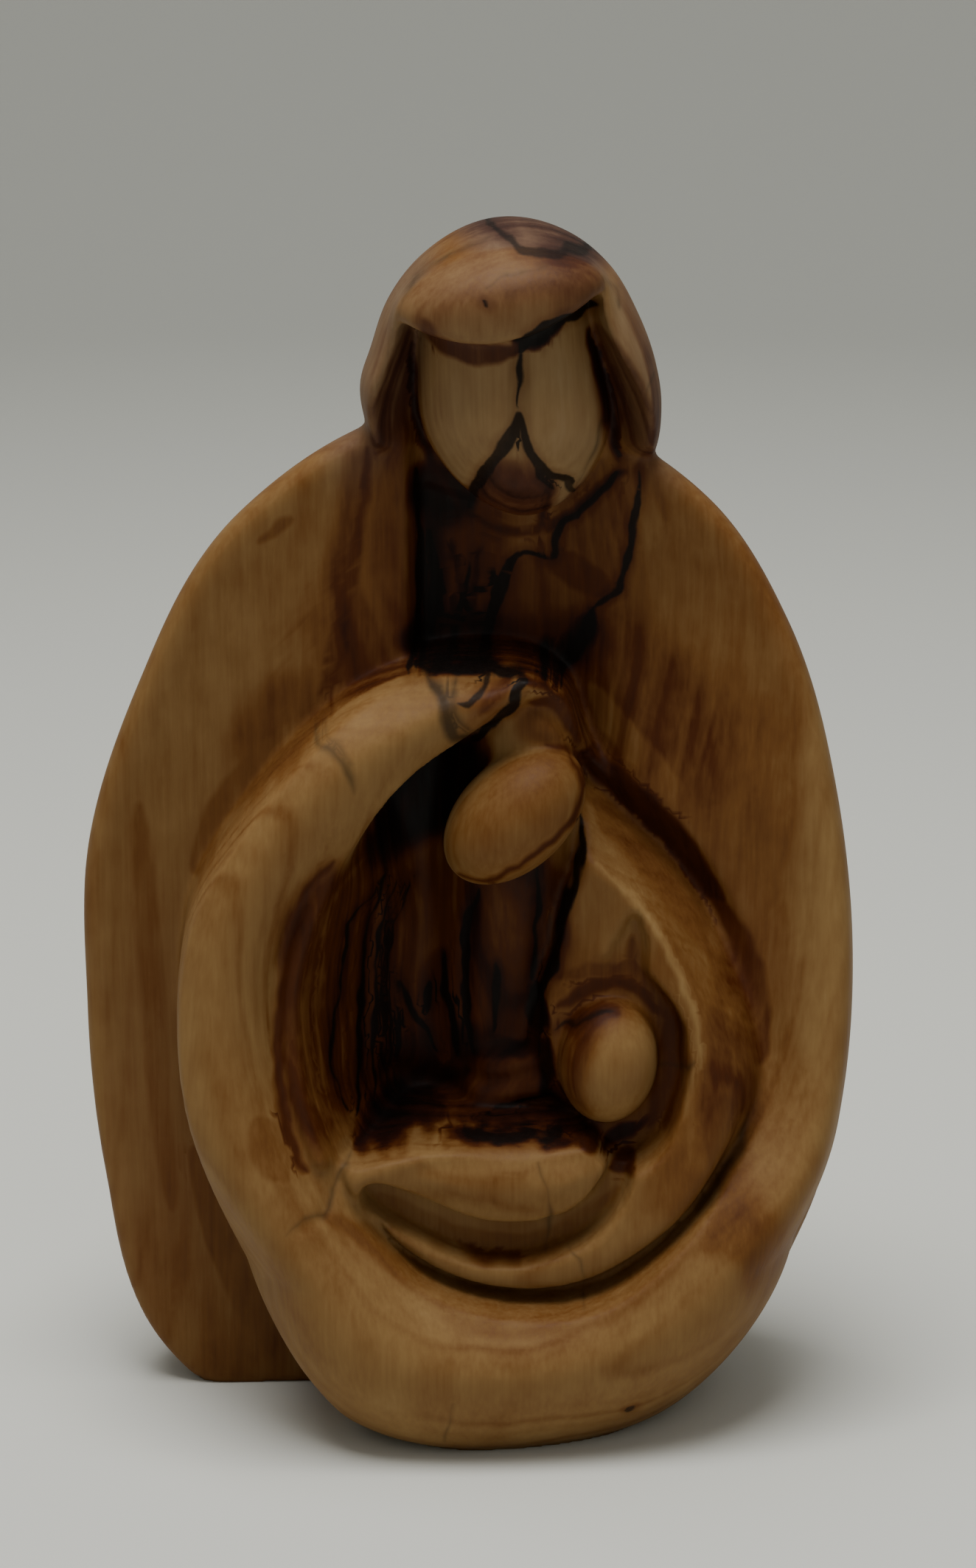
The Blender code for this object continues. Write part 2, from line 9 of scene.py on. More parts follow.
import bpy
import numpy as np
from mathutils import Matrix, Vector


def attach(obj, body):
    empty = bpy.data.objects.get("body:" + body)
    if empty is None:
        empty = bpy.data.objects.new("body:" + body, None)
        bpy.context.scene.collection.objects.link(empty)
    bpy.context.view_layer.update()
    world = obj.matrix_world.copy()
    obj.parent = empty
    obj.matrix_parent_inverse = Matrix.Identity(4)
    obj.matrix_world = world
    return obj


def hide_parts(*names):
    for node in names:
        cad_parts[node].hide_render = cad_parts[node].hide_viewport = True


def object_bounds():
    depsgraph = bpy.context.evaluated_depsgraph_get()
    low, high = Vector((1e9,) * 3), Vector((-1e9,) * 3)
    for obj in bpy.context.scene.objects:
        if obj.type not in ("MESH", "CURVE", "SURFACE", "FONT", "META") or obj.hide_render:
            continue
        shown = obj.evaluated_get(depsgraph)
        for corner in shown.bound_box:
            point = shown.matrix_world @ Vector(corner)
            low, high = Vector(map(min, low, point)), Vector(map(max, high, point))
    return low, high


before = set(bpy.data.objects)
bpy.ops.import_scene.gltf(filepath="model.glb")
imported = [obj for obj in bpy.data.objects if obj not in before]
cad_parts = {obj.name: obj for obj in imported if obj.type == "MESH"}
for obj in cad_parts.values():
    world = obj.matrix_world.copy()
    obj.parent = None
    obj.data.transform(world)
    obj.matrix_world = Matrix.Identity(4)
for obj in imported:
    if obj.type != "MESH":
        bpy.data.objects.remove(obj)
CAD_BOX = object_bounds()

bl_info = {
    "name": "Holy family carving",
    "version": (1, 0, 0),
    "blender": (4, 5, 0),
    "location": "3D View > Sidebar > Carving",
    "description": "Carves the holy family from a block of olive wood and sets it on a pale floor",
    "category": "Object",
}

NODE = "holy_family_carving"
UNITS_HIGH = 120.0          # carver's units in the height of the carving
MM = 1000.0                 # millimetres in a metre
BOX_LOW = (-42.5, -30.5, -2.5)
BOX_HIGH = (42.5, 26.5, 124.5)
FLAT_BELOW = 0.25           # what is lower than this is the sawn base
PINCH_FILL = -0.03          # how deep a filled pinch is in the wood, in units
SANDING_ROUNDS = 1

CARVING_HEIGHT = CAD_BOX[1][2] - CAD_BOX[0][2]

# The wood's grain: sizes across and along the trunk in millimetres, detail, and share in the tone.
FIBRES = (0.45, 9.0, 4.0, 0.14)     # real fibres are finer; these are as coarse as they need to be to show
STREAKS = (2.2, 34.0, 3.0, 0.14)
BLOTCHES = (2.6, 4.16, 4.0, 0.16)
CLOUDS = (11.0, 22.0, 2.0, 0.20)
RING_MM = 1.3
RING_CLOUDS = 1.6           # how far the clouds push the rings
RING_CONTRAST = 0.36
GRAIN_DEPTH_MM = 0.05
WOOD_STOPS = (0.0, 0.22, 0.42, 0.58, 0.76, 1.0)     # tones of the shades from sapwood to black
PLAIN_WOOD = (0.4, 0.66, 0.28, 1.0)     # up to the first tone rings show least, past the second fully
# Cover of a mark's colour: from where to where past its edge, in units, and from how much to how much.
VEIN_EDGE = (-0.12, 0.16, 0.96, 0.0)
VEIN_HALO = (0.0, 1.0, 0.09, 0.0)
SOFT_EDGE = (-0.6, 0.30, 1.0, 0.0)
BROWN_EDGE = (-0.35, 0.40, 0.92, 0.0)
RAGGED = (0.7, 0.16)        # how far blotches and fibres push a vein's edge, in units
SOFT_RAGGED = 1.6
BROWN_RAGGED = 1.2
WAY_SHORT = 0.4             # how far a blended way to a mark may fall short of its stored distance
LINE_TAPER = 0.25           # a line's half width at its ends, as a share of its full one
RED_SHARE = 0.6
RED_DARKENS = (0.3, 1.0, 0.0, 0.9)      # the red turns black as the tone rises
GREY_SATURATION = 0.38      # how much a full grey stain takes off
GREY_VALUE = 0.22
ROUGHNESS = (0.62, 0.50)    # between fibres and on them
SPECULAR = 0.13
BUMP_STRENGTH = 0.5
BUMP_STREAKS = 0.5
PAPER_ROUGHNESS = 0.85

# The trunk, in units: its growth rings round a pith behind the carving, and where the marks end.
PITH = (2.0, 12.0)
PITH_HEIGHT = 60.0          # where the bowed pith comes nearest
BACK_TONE = 0.28
FRONT_TONE = 0.29
RING_SQUASH = 0.8           # how much closer the rings are round the trunk's sides
PITH_BOW = 0.0012
HEARTWOOD_AND_SHADE_PER_DEPTH = 0.010      # darker further in: partly heartwood, partly painted shade in the recesses
# how proud a surface stands before it darkens: pale sapwood and no painted shade above this
SAPWOOD_AND_SHADE_DEPTH = 8
GROOVE_TONE = 0.33
GROOVE_PROUD = 15.5
LATE_WOOD_TURN = 2.4        # radians a unit across the rings
LATE_WOOD_BACK = 0.17
LATE_WOOD_UNDER = 0.06      # in front, beneath the stains
LATE_WOOD_OVER = 0.035      # and over them
MARKS_FROM = -7             # how proud the surface is where the front's marks begin to show
MARKS_FULL = 3.5            # how much further forward they are at full strength
NO_LINE = 9.0               # a distance that stands for no line near

# The photograph's own frame, in its pixels and in carver's units.
PHOTO_HIGH = 2127
PHOTO_PIXELS_A_UNIT = 13.58 # at the middle of the picture
PHOTO_DISTANCE = 380.0
PHOTO_ELEVATION = 15.0
PHOTO_AIM = (2.0, 1.45, 63.6)
SENSOR_MM = 36.0

COVE_FLOOR = 0.75           # the paper cove, in metres: the radius of its flat floor
COVE_BEND = 0.5
COVE_HIGH = 1.0
COVE_SIDES = 96
OVERHEAD_LIGHT = (0.42, (-0.05, -0.08, 0.72))   # size and place in metres
FRONT_LIGHT = (0.60, (0.25, -0.65, 0.55))
LIGHT_AIM = (0.0, 0.0, 0.05)
ROOM_COLOUR = "#EDEFF2"

# The block's own outline, seen from the front: degrees round its middle (0 is right, 90 is up), radius.
BLOCK_MIDDLE = (0.3, 48.0)
BLOCK_OUTLINE = (
    (1, 38.2), (25, 39.8), (46, 45.0), (62, 50.1), (90, 54.0), (118, 48.7), (142, 42.0),
    (166, 39.6), (191, 39.7), (214, 45.3), (233, 54.2), (270, 56.0), (293, 53.0), (317, 46.0), (338, 40.6))
BLOCK_FRONT = 32.0          # bulge of the uncut block towards the viewer
BLOCK_BACK = 21.0           # bulge of the back
BLOCK_EDGE = 2.6            # how square the block's bulge is: 2 is an ellipse
RIM_ROUNDING = 2.6          # where the cloak's face turns into its side
KEEL_BLEND = 2.0            # how wide each joining of two forms is rounded
HOOD_BLEND = 1.2
HEAD_BLEND = 0.6
BASE_BLEND = 0.8

# The loop of cloth in front, and the hollow inside it, as stations round the same middle.
LOOP_MIDDLE = (2.0, 42.0)
HOLLOW_EDGE = (
    (-131, 22.9), (-118, 23.6), (-102, 25.8), (-86, 27.4), (-68, 28.6), (-50, 28.1), (-33, 28.0),
    (-18, 28.6), (0, 27.4), (22, 26.7), (43, 26.7), (60, 27.2), (68, 27.9), (73, 29.2), (77, 31.2),
    (82, 32.3), (87, 31.6), (95, 29.2), (105, 27.0), (113, 25.3), (124, 23.3), (146, 22.4), (180, 20.8),
    (212, 21.4))
VEIL_EDGE = (
    (55, 25.5), (68, 27.6), (73, 30.6), (76, 33.2), (80, 34.8), (86, 35.8), (96, 36.0),
    (112, 34.8), (122, 33.3), (141, 31.6), (158, 31.5), (180, 30.7), (209, 31.8), (223, 34.2), (239, 38.4),
    (250, 42.8), (262, 52.0))
CREST_RADIUS = (
    (-134, 28.6), (-110, 32.6), (-84, 33.5), (-58, 34.8), (-38, 34.4), (-18, 35.0), (0, 36.0),
    (30, 43.0), (60, 52.0), (72, 40.0), (84, 34.4), (100, 31.5), (120, 29.3), (150, 27.5), (180, 26.3),
    (205, 27.0))
CREST_PROUD = (
    (-134, 22.0), (-110, 23.6), (-90, 24.0), (-58, 21.8), (-38, 18.4), (-18, 14.0), (0, 10.5),
    (27, 7.5), (52, 5.5), (70, 5.5), (80, 10.5), (92, 12.5), (110, 14.5), (140, 16.5), (180, 18.5),
    (205, 20.5))
HOLLOW_EDGE_PROUD = (
    (-130, 18.5), (-115, 19.0), (-90, 20.0), (-60, 20.0), (-45, 18.0), (-33, 15.0),
    (-16, 12.2), (-8, 11.0), (10, 8.6), (30, 5.6), (50, 4.2), (68, 4.0), (76, 8.0), (88, 10.5), (106, 12.5),
    (140, 13.5), (180, 14.5), (205, 16.5))
VALLEY_PROUD = (
    (-130, 16.8), (-116, 16.2), (-100, 15.8), (-86, 15.8), (-60, 15.6), (-33, 12.6), (-10, 9.6),
    (10, 6.2), (30, 2.6), (50, 1.0), (72, 1.0), (90, 2.0), (115, 2.0), (135, 10.5), (180, 13.0),
    (205, 14.5))
WALL_WIDTH = (
    (-131, 2.2), (-110, 1.0), (-86, 0.7), (-30, 0.8), (0, 1.2), (13, 2.3), (30, 2.8), (60, 3.4),
    (72, 2.4), (90, 1.0), (115, 1.0), (135, 2.4), (180, 3.0), (205, 3.0))
HOLLOW_FLOOR = 0.0
VEIL_STEP = 1.2             # how wide the step off the veil's outer edge is
CLOAK_LEFT_RIM = 3.2
CLOAK_LEFT_DISH = 1.3
CLOAK_RIGHT = (             # height, how proud its rim is, how deep its dish
    (25, 15.5, 6.0), (30, 14.0, 5.8), (41, 11.3, 5.2), (53, 8.7, 3.7), (63, 7.2, 3.1),
    (75, 5.4, 4.8), (85, 3.8, 6.6), (97, 2.0, 5.0))
CHEST_EDGE = -5.3           # left edge of the slot down the cloak's chest
CHEST_EDGE_WIDTH = 2.4
CHEST_FLOOR = -2.0
CHEST_MIDDLE = 5            # right of this the chest's floor rises
CHEST_RISE = 0.04
CHEST_FROM = (60, 10)       # the height the hollowed chest starts at, and over how much more
FOOT_MIDDLE = 3.5           # the loop's own footprint on the base, seen from above
FOOT_LEFT = 15.5
FOOT_RIGHT = 17.5
FOOT_FRONT = 19.2
KEEL_HEIGHT = 18.0          # how far up the lower front curves out from the base
KEEL_SWELL = 12.6

# The arm that curls round the child: the line of its ridge, from the shoulder down the right and under.
ARM_RADIUS = (
    (-123, 21.1), (-105, 22.8), (-84, 24.4), (-59, 24.6), (-45, 25.2), (-33, 24.8), (-17, 23.5),
    (-2, 21.2), (7, 20.3), (15, 19.6), (26, 19.2), (46, 19.0), (61, 19.4), (70, 20.5), (110, 21.0),
    (180, 18.0), (225, 19.5))
ARM_PROUD = (
    (-135, 17.5), (-112, 17.0), (-90, 17.2), (-62, 17.4), (-41, 16.8), (-20, 15.2), (0, 14.0),
    (24, 12.6), (45, 11.4), (61, 10.6), (72, 8.0), (90, 2.0), (180, 2.0), (212, 14.0))
ARM_SLOPE_IN = (
    (-130, 0.05), (-60, 0.1), (-10, 0.12), (24, 0.22), (60, 0.28), (90, 0.4), (180, 0.4),
    (215, 0.1))
ARM_ROUNDING = (
    (-130, 2.6), (-60, 2.6), (-30, 2.0), (-10, 1.5), (30, 1.2), (70, 1.2), (180, 1.4))
ARM_GROOVE = (
    (-128, 0.4), (-116, 1.4), (-105, 2.0), (-86, 2.2), (-50, 2.0), (-30, 1.2), (-12, 0.2),
    (10, 0.0), (100, 0.0), (215, 0.0))

# Outlines in the front view, in order round each one.
DEEP_PART = (
    (10.9, 66.0), (11.2, 61.0), (10.6, 57.0), (9.5, 54.2), (8.8, 51.0), (8.3, 47.6), (7.0, 45.6),
    (7.6, 42.0), (8.0, 38.0), (9.6, 34.6), (12.2, 31.4), (8.6, 30.9), (3.9, 30.5), (-1.0, 31.0),
    (-7.1, 30.6), (-11.6, 29.2), (-17.0, 29.5), (-26.0, 36.0), (-26.0, 66.0), (-10.0, 78.0), (9.0, 78.0))
CHILD_BODY = (
    (-13.5, 28.6), (-11.0, 29.4), (-7.1, 30.6), (-0.4, 31.1), (6.3, 31.1), (11.0, 31.0),
    (13.6, 29.6), (13.4, 27.2), (11.9, 24.9), (9.2, 23.2), (5.5, 22.5), (2.3, 22.6), (-0.4, 23.2),
    (-2.8, 24.3), (-6.0, 25.7), (-9.3, 27.2))
BODY_GROOVE = (
    (-9.4, 27.1), (-6.0, 25.6), (-2.8, 24.2), (-0.4, 23.1), (2.3, 22.5), (5.5, 22.4),
    (9.2, 23.1), (11.9, 24.8), (13.6, 27.2), (14.9, 29.6), (15.7, 29.2), (15.1, 26.4), (13.5, 23.9),
    (11.4, 21.9), (8.7, 20.8), (6.3, 19.9), (3.9, 19.6), (1.2, 19.8), (-1.4, 20.5), (-3.6, 21.7),
    (-6.0, 22.9), (-8.1, 24.2), (-10.1, 25.6))
BODY_GROOVE_PROUD = 13.5
HALO = (
    (7.6, 48.6), (10.6, 49.2), (13.4, 49.1), (17.2, 48.0), (18.9, 46.2), (20.4, 44.1), (21.1, 42.5),
    (21.3, 40.9), (21.2, 39.1), (21.4, 37.5), (21.0, 35.6), (20.2, 33.2), (19.4, 31.2), (17.6, 29.4),
    (15.2, 28.4), (13.4, 29.8), (11.5, 31.8), (9.0, 34.6), (7.6, 38.0), (6.8, 42.0), (6.6, 45.6))
HALO_SPUR = ((13.8, 47.0), (14.6, 50.0), (16.3, 52.9), (16.9, 50.2), (16.8, 47.0))
HANDS = (((1.5, 32.6), (4.5, 33.2), (8.5, 34.6)), 6.4, 1.5)      # line, how proud, half width
SLEEVE = (((2.5, 35.4), (5.5, 36.2), (9.0, 37.4)), 6.2, 1.6)
ROBE_TOP = (5.8, 62)        # the robe's middle at its top, in the front view
ROBE_LONG = 32
ROBE_DRIFT = 3.2            # how far its middle runs to the left on its way down
ROBE_PROUD = 8.6
ROBE_FALL = 5.0             # how much less proud it is at its foot
ROBE_ROUND = 6.0            # how far its sides fall away at its half width
ROBE_HALF = (8.0, 1.5)      # half its width at the top, and what the foot adds
POCKET = (-7.5, 33)         # the dark pocket left of the robe's foot
POCKET_DEPTH = 3.2
POCKET_HALF = (4.5, 4.0)
POCKET_LEAN = 0.9
CHILD_BODY_PROUD = 13.0     # at the child's side
CHILD_BODY_SWELL = 4.6      # how much prouder its crown is
CHILD_BODY_ROUND = 4.2      # how far in from its edge the crown begins
HALO_PROUD = 10.4
HALO_SPUR_PROUD = 10.2
CHILD_NECK = ((13.4, 38.6), (5.5, 6.6))     # the mound under the child's head: middle, half sizes
CHILD_NECK_PROUD = 9.0

HOOD_MIDDLE = (4.2, 104.0)
HOOD_OUTLINE = (
    (9, 14.1), (30, 14.0), (50, 14.8), (68, 15.5), (93, 16.0), (125, 15.1), (145, 14.5),
    (166, 14.1), (180, 14.7), (195, 14.6), (211, 14.4), (240, 12.5), (270, 12.0), (310, 14.5), (333, 15.4),
    (352, 14.7))

# Fine cuts in the front: depth, half width, then the line's points as x, z, x, z.
FINE_CUTS = (
    (0.9, 0.9, 5.0, 110.5, 4.9, 107.0, 4.8, 103.5, 4.6, 99.0, 4.4, 95.0),
    (0.5, 0.9, 4.8, 103.4, 4.3, 100.7, 3.1, 98.5, 1.7, 96.8, 0.3, 93.6),
    (0.5, 0.9, 4.8, 103.3, 5.5, 100.1, 6.7, 97.4, 8.4, 95.8, 10.8, 94.6),
    (0.35, 0.5, 0.9, 54.5, 0.1, 50.7, -0.4, 46.8, -0.3, 42.8, 0.1, 37.5),
    (0.35, 0.5, -8.3, 55.4, -9.6, 51.1, -10.1, 47.1, -10.3, 42.4, -10.6, 37.0, -10.9, 32.2),
    (0.25, 0.4, 6.8, 56.9, 6.9, 52.9, 6.6, 48.8, 6.4, 44.8),
    (0.25, 0.4, -5.4, 54.6, -6.6, 51.0, -7.6, 45.0, -7.4, 38.0, -7.0, 33.0),
    (0.3, 0.35, -11.5, 29.8, -12.2, 29.0, -13.4, 27.2, -14.2, 25.0, -17.7, 23.9),
    (0.3, 0.35, 6.8, 29.5, 7.6, 27.5, 8.1, 24.9, 7.9, 21.3),
)
CUTS_FROM = 3               # how proud the surface is where the cuts begin

# Rounded forms: middle as x, how proud and height; radii across, in depth and up; degrees of lean.
BROW = ((3.1, 8.6, 113.1), (9.7, 5.6, 4.0), -10)
BROW_BLEND = 3.0
HOOD_DEPTH = 14.0           # how far the hood bulges in front and behind
HOOD_EDGE = 2.3
OPENING_HALF = 9.4          # half the hood's opening at its top
OPENING_WIDENS = 4.9        # on its way down from there
OPENING_TOP = 109.6
OPENING_ARCH = 0.034        # how its top edge rises away from ARCH_MIDDLE
ARCH_MIDDLE = 0.9
OPENING_FLOOR = -1.6        # how proud the bottom of the opening is at its middle
OPENING_END = 98.5          # below this the opening runs out to the hood's sides
LAPELS_WIDEN = 9.0          # by so much
FACE = ((4.6, 2.0, 102.5), (9.3, 9.6, 11.2))
FACE_TOP = 114.0            # hidden in the brow
VEILED_HEAD = ((4.5, 9.4, 63.0), (5.3, 6.4, 8.2), 46)
CHILD_HEAD = ((13.8, 11.2, 38.4), (4.9, 5.2, 6.3), 6)


def smooth_max(a, b, width):
    """The larger of two fields, with the crease between them rounded over this width."""
    near = np.maximum(width - np.abs(a - b), 0.0) / width
    return np.maximum(a, b) + near * near * width / 4


def smooth_min(a, b, width):
    return -smooth_max(-a, -b, width)


def ease(value):
    """0 below 0, 1 above 1, and an S-curve between."""
    value = np.clip(value, 0.0, 1.0)
    return value * value * (3 - 2 * value)


def smooth_curve(at, value, places):
    """The value at these places of a smooth curve through values at rising stations."""
    slope = np.gradient(value, at)
    places = np.clip(places, at[0], at[-1])
    i = np.clip(np.searchsorted(at, places, side="right") - 1, 0, len(at) - 2)
    span = at[i + 1] - at[i]
    s = (places - at[i]) / span
    return (value[i] * (1 + 2 * s) * (1 - s) ** 2 + slope[i] * span * s * (1 - s) ** 2
            + value[i + 1] * s * s * (3 - 2 * s) + slope[i + 1] * span * s * s * (s - 1))


def round_the_clock(stations, degrees):
    """The value at these angles of a smooth closed curve through (degrees, value) stations."""
    angle, value = np.array(sorted((a % 360, v) for a, v in stations), float).T
    angle = np.concatenate([angle[-2:] - 360, angle, angle[:2] + 360])
    value = np.concatenate([value[-2:], value, value[:2]])
    table = np.arange(0.0, 361.0)
    return np.interp(degrees % 360, table, smooth_curve(angle, value, table))


def clock(x, z, middle):
    """Radius and degrees of points in the front view, round a middle."""
    dx, dz = x - middle[0], z - middle[1]
    return np.hypot(dx, dz), np.degrees(np.arctan2(dz, dx))


def bulged(x, y, z, middle, outline, front, back, edge, depth_middle=0.0):
    """Distance, roughly, to an outline in the front view that bulges by front and back at its middle."""
    r, degrees = clock(x, z, middle)
    reach = round_the_clock(outline, degrees)
    rho = r / reach
    half = np.where(y < depth_middle, front, back)
    eta = np.abs(y - depth_middle) / half
    value = rho ** edge + eta ** 2.2
    steep = np.hypot(edge * rho ** (edge - 1) / reach, 2.2 * eta ** 1.2 / half)
    return (value - 1) / np.maximum(steep, 0.02)


def leaned(dx, dz, degrees):
    """Ways across and along a thing in the front view that leans to the right."""
    turn = np.radians(degrees)
    return dx * np.cos(turn) - dz * np.sin(turn), dx * np.sin(turn) + dz * np.cos(turn)


def ellipsoid(x, y, z, centre, radii, lean=0.0):
    """Distance, roughly, to an ellipsoid at (x, proud, z), leaning by degrees to the right."""
    across, along = leaned(x - centre[0], z - centre[2], lean)
    dy = y + centre[1]
    a, b, c = radii
    k0 = np.sqrt((across / a) ** 2 + (dy / b) ** 2 + (along / c) ** 2)
    k1 = np.sqrt((across / a ** 2) ** 2 + (dy / b ** 2) ** 2 + (along / c ** 2) ** 2)
    return k0 * (k0 - 1) / np.maximum(k1, 1e-6)


def way_to_stretch(x, z, start, end, long_squared):
    """The way to a straight stretch in x and z, and the share of the stretch there."""
    (ax, az), (bx, bz) = start, end
    s = np.clip(((x - ax) * (bx - ax) + (z - az) * (bz - az)) / long_squared, 0, 1)
    return x - ax - s * (bx - ax), z - az - s * (bz - az), s


def ways_to_line(x, z, points):
    """For each stretch of a line, the ways to it in x and z, and the share of the line's length there."""
    points = np.reshape(points, (-1, 2)).astype(float)
    steps = np.linalg.norm(np.diff(points, axis=0), axis=1)
    starts = np.concatenate([[0.0], np.cumsum(steps)])
    for here, there, start, step in zip(points[:-1], points[1:], starts, steps):
        dx, dz, s = way_to_stretch(x, z, here, there, step ** 2)
        yield dx, dz, (start + s * step) / starts[-1]


def along_line(x, z, points):
    """Distance to a line through points of the front view, and the share of the way along it."""
    best = np.full(np.broadcast(x, z).shape, 1e9)
    share = np.zeros(best.shape)
    for dx, dz, along in ways_to_line(x, z, points):
        d = np.hypot(dx, dz)
        share = np.where(d < best, along, share)
        best = np.minimum(best, d)
    return best, share


def depth_inside(x, z, outline, rounds=2):
    """Distance in from a closed outline of the front view, negative outside, with its corners cut off."""
    points = np.array(outline, float)
    for _ in range(rounds):
        following = np.roll(points, -1, axis=0)
        points = np.stack([0.75 * points + 0.25 * following, 0.25 * points + 0.75 * following], axis=1)
        points = points.reshape(-1, 2)
    shape = np.broadcast(x, z).shape
    nearest = np.full(shape, 1e9)
    inside = np.zeros(shape, bool)
    for (ax, az), (bx, bz) in zip(points, np.roll(points, -1, axis=0)):
        dx, dz, _ = way_to_stretch(x, z, (ax, az), (bx, bz), (bx - ax) ** 2 + (bz - az) ** 2)
        nearest = np.minimum(nearest, np.hypot(dx, dz))
        if az != bz:
            crossed = ((az > z) != (bz > z)) & (x < ax + (z - az) * (bx - ax) / (bz - az))
            inside = inside ^ crossed
    return np.where(inside, nearest, -nearest)


def cloak_face(x, z):
    """How proud the cloak's hollowed face stands: dished on the left, deeper down the chest and right."""
    r, degrees = clock(x, z, BLOCK_MIDDLE)
    out = np.clip((r / round_the_clock(BLOCK_OUTLINE, degrees) - 0.5) / 0.5, 0, 1)
    left = CLOAK_LEFT_RIM - CLOAK_LEFT_DISH * 4 * out * (1 - out)
    height, rim, dish = np.array(CLOAK_RIGHT).T
    right = smooth_curve(height, rim, z) - smooth_curve(height, dish, z) * (1 - out ** 1.6)
    floor = CHEST_FLOOR + CHEST_RISE * np.maximum(x - CHEST_MIDDLE, 0) ** 2
    chest = smooth_min(right, floor, 1.5)
    right = right + (chest - right) * ease((z - CHEST_FROM[0]) / CHEST_FROM[1])
    return left + (right - left) * ease((x - CHEST_EDGE) / CHEST_EDGE_WIDTH + 0.5)


def loop_face(x, z):
    """How proud the loop of cloth stands: from the hollow's edge over its crest, then off its far side."""
    r, degrees = clock(x, z, LOOP_MIDDLE)
    edge = round_the_clock(HOLLOW_EDGE, degrees)
    edge_proud = round_the_clock(HOLLOW_EDGE_PROUD, degrees)
    crest = round_the_clock(CREST_RADIUS, degrees)
    crest_proud = round_the_clock(CREST_PROUD, degrees)
    s = np.clip((r - edge) / (crest - edge), 0, 3)
    climb = 1 - (1 - np.minimum(s, 1)) ** 2
    fall = np.maximum(s - 1, 0) ** 2 * (4.0 - 2.2 * ease((degrees + 125) / 30) * (degrees < 0))
    return edge_proud + (crest_proud - edge_proud) * climb - fall


def arm_face(x, z):
    """The arm round the child: a ridge, a gentle slope inside it and a hollowed one outside it."""
    r, degrees = clock(x, z, LOOP_MIDDLE)
    edge = round_the_clock(HOLLOW_EDGE, degrees) - round_the_clock(WALL_WIDTH, degrees)
    valley = round_the_clock(VALLEY_PROUD, degrees)
    crest = round_the_clock(ARM_RADIUS, degrees)
    proud = round_the_clock(ARM_PROUD, degrees)
    inward = proud - round_the_clock(ARM_SLOPE_IN, degrees) * (crest - r)
    share = np.clip((r - crest) / np.maximum(edge - crest, 0.5), 0, 1)
    outward = proud - (proud - valley) * share ** round_the_clock(ARM_ROUNDING, degrees)
    outward = outward - round_the_clock(ARM_GROOVE, degrees) * ease((share - 0.5) / 0.2)
    return np.where(r < crest, inward, outward)


def deep_face(x, z):
    """The deepest part: a bowl behind the robe, the robe hanging in it, and two hands over the child."""
    r, degrees = clock(x, z, LOOP_MIDDLE)
    edge = round_the_clock(HOLLOW_EDGE, degrees) - round_the_clock(WALL_WIDTH, degrees)
    valley = np.maximum(round_the_clock(VALLEY_PROUD, degrees), 2.0)
    bowl = HOLLOW_FLOOR + (valley - HOLLOW_FLOOR) * np.clip(r / edge, 0, 1.2) ** 2.6
    down = np.clip((ROBE_TOP[1] - z) / ROBE_LONG, -0.3, 1)
    across = (x - ROBE_TOP[0] + ROBE_DRIFT * down) / (ROBE_HALF[0] + ROBE_HALF[1] * down)
    face = smooth_max(bowl, ROBE_PROUD - ROBE_FALL * down - ROBE_ROUND * across ** 2, 2.5)
    up = z - POCKET[1]
    across = (x - POCKET[0] + POCKET_LEAN * up) / POCKET_HALF[0]
    face = face - POCKET_DEPTH * np.exp(-across ** 2 - (up / POCKET_HALF[1]) ** 2)
    for points, proud, half in HANDS, SLEEVE:
        d, s = along_line(x, z, points)
        face = smooth_max(face, proud + 1.2 * s - 1.2 * (d / half) ** 2, 1.2)
    return face


def hollow_face(x, z):
    """How proud the inside of the hollow stands."""
    arm = arm_face(x, z)
    deep = deep_face(x, z)
    face = arm + (deep - arm) * ease(depth_inside(x, z, DEEP_PART) / 1.1 + 0.5)
    inside = depth_inside(x, z, CHILD_BODY)
    swell = np.sqrt(1 - (1 - np.clip(inside / CHILD_BODY_ROUND, 0, 1)) ** 2)
    dome = CHILD_BODY_PROUD + CHILD_BODY_SWELL * swell + np.minimum(inside, 0) * 8
    face = smooth_max(face, dome, 0.6)
    cut = BODY_GROOVE_PROUD - 5.0 * np.minimum(depth_inside(x, z, BODY_GROOVE) + 0.3, 0)
    face = smooth_min(face, cut, 0.4)
    nest = HALO_PROUD - 5.0 * np.minimum(depth_inside(x, z, HALO) - 0.4, 0)
    face = smooth_min(face, nest, 0.4)
    (middle_x, middle_z), (half_x, half_z) = CHILD_NECK
    past_neck = np.hypot((x - middle_x) / half_x, (z - middle_z) / half_z) - 1
    face = smooth_max(face, CHILD_NECK_PROUD - 10.0 * np.maximum(past_neck, 0), 1.0)
    spur = HALO_SPUR_PROUD - 6.0 * np.minimum(depth_inside(x, z, HALO_SPUR, rounds=0) + 0.4, 0)
    return smooth_min(face, spur, 0.3)


def relief(x, z):
    """How proud the carved front stands at a point of the front view."""
    r, degrees = clock(x, z, LOOP_MIDDLE)
    edge = round_the_clock(HOLLOW_EDGE, degrees)
    wall = round_the_clock(WALL_WIDTH, degrees)
    into_wall = np.clip((r - edge + wall) / wall, 0, 1)
    crisp = ease((80 - np.abs(degrees + 10)) / 20)
    into_wall = ease(into_wall) + (into_wall - ease(into_wall)) * crisp
    veil = round_the_clock(VEIL_EDGE, degrees)
    past_veil = ease((r - veil) / VEIL_STEP + 0.5) * ((degrees > 50) | (degrees < -98))
    right = ease((degrees + 38) / 34) * (degrees <= 50) * (degrees > -98)
    outer = loop_face(x, z)
    outer = outer + (cloak_face(x, z) - outer) * np.maximum(past_veil, right)
    inner = hollow_face(x, z)
    return inner + (outer - inner) * into_wall


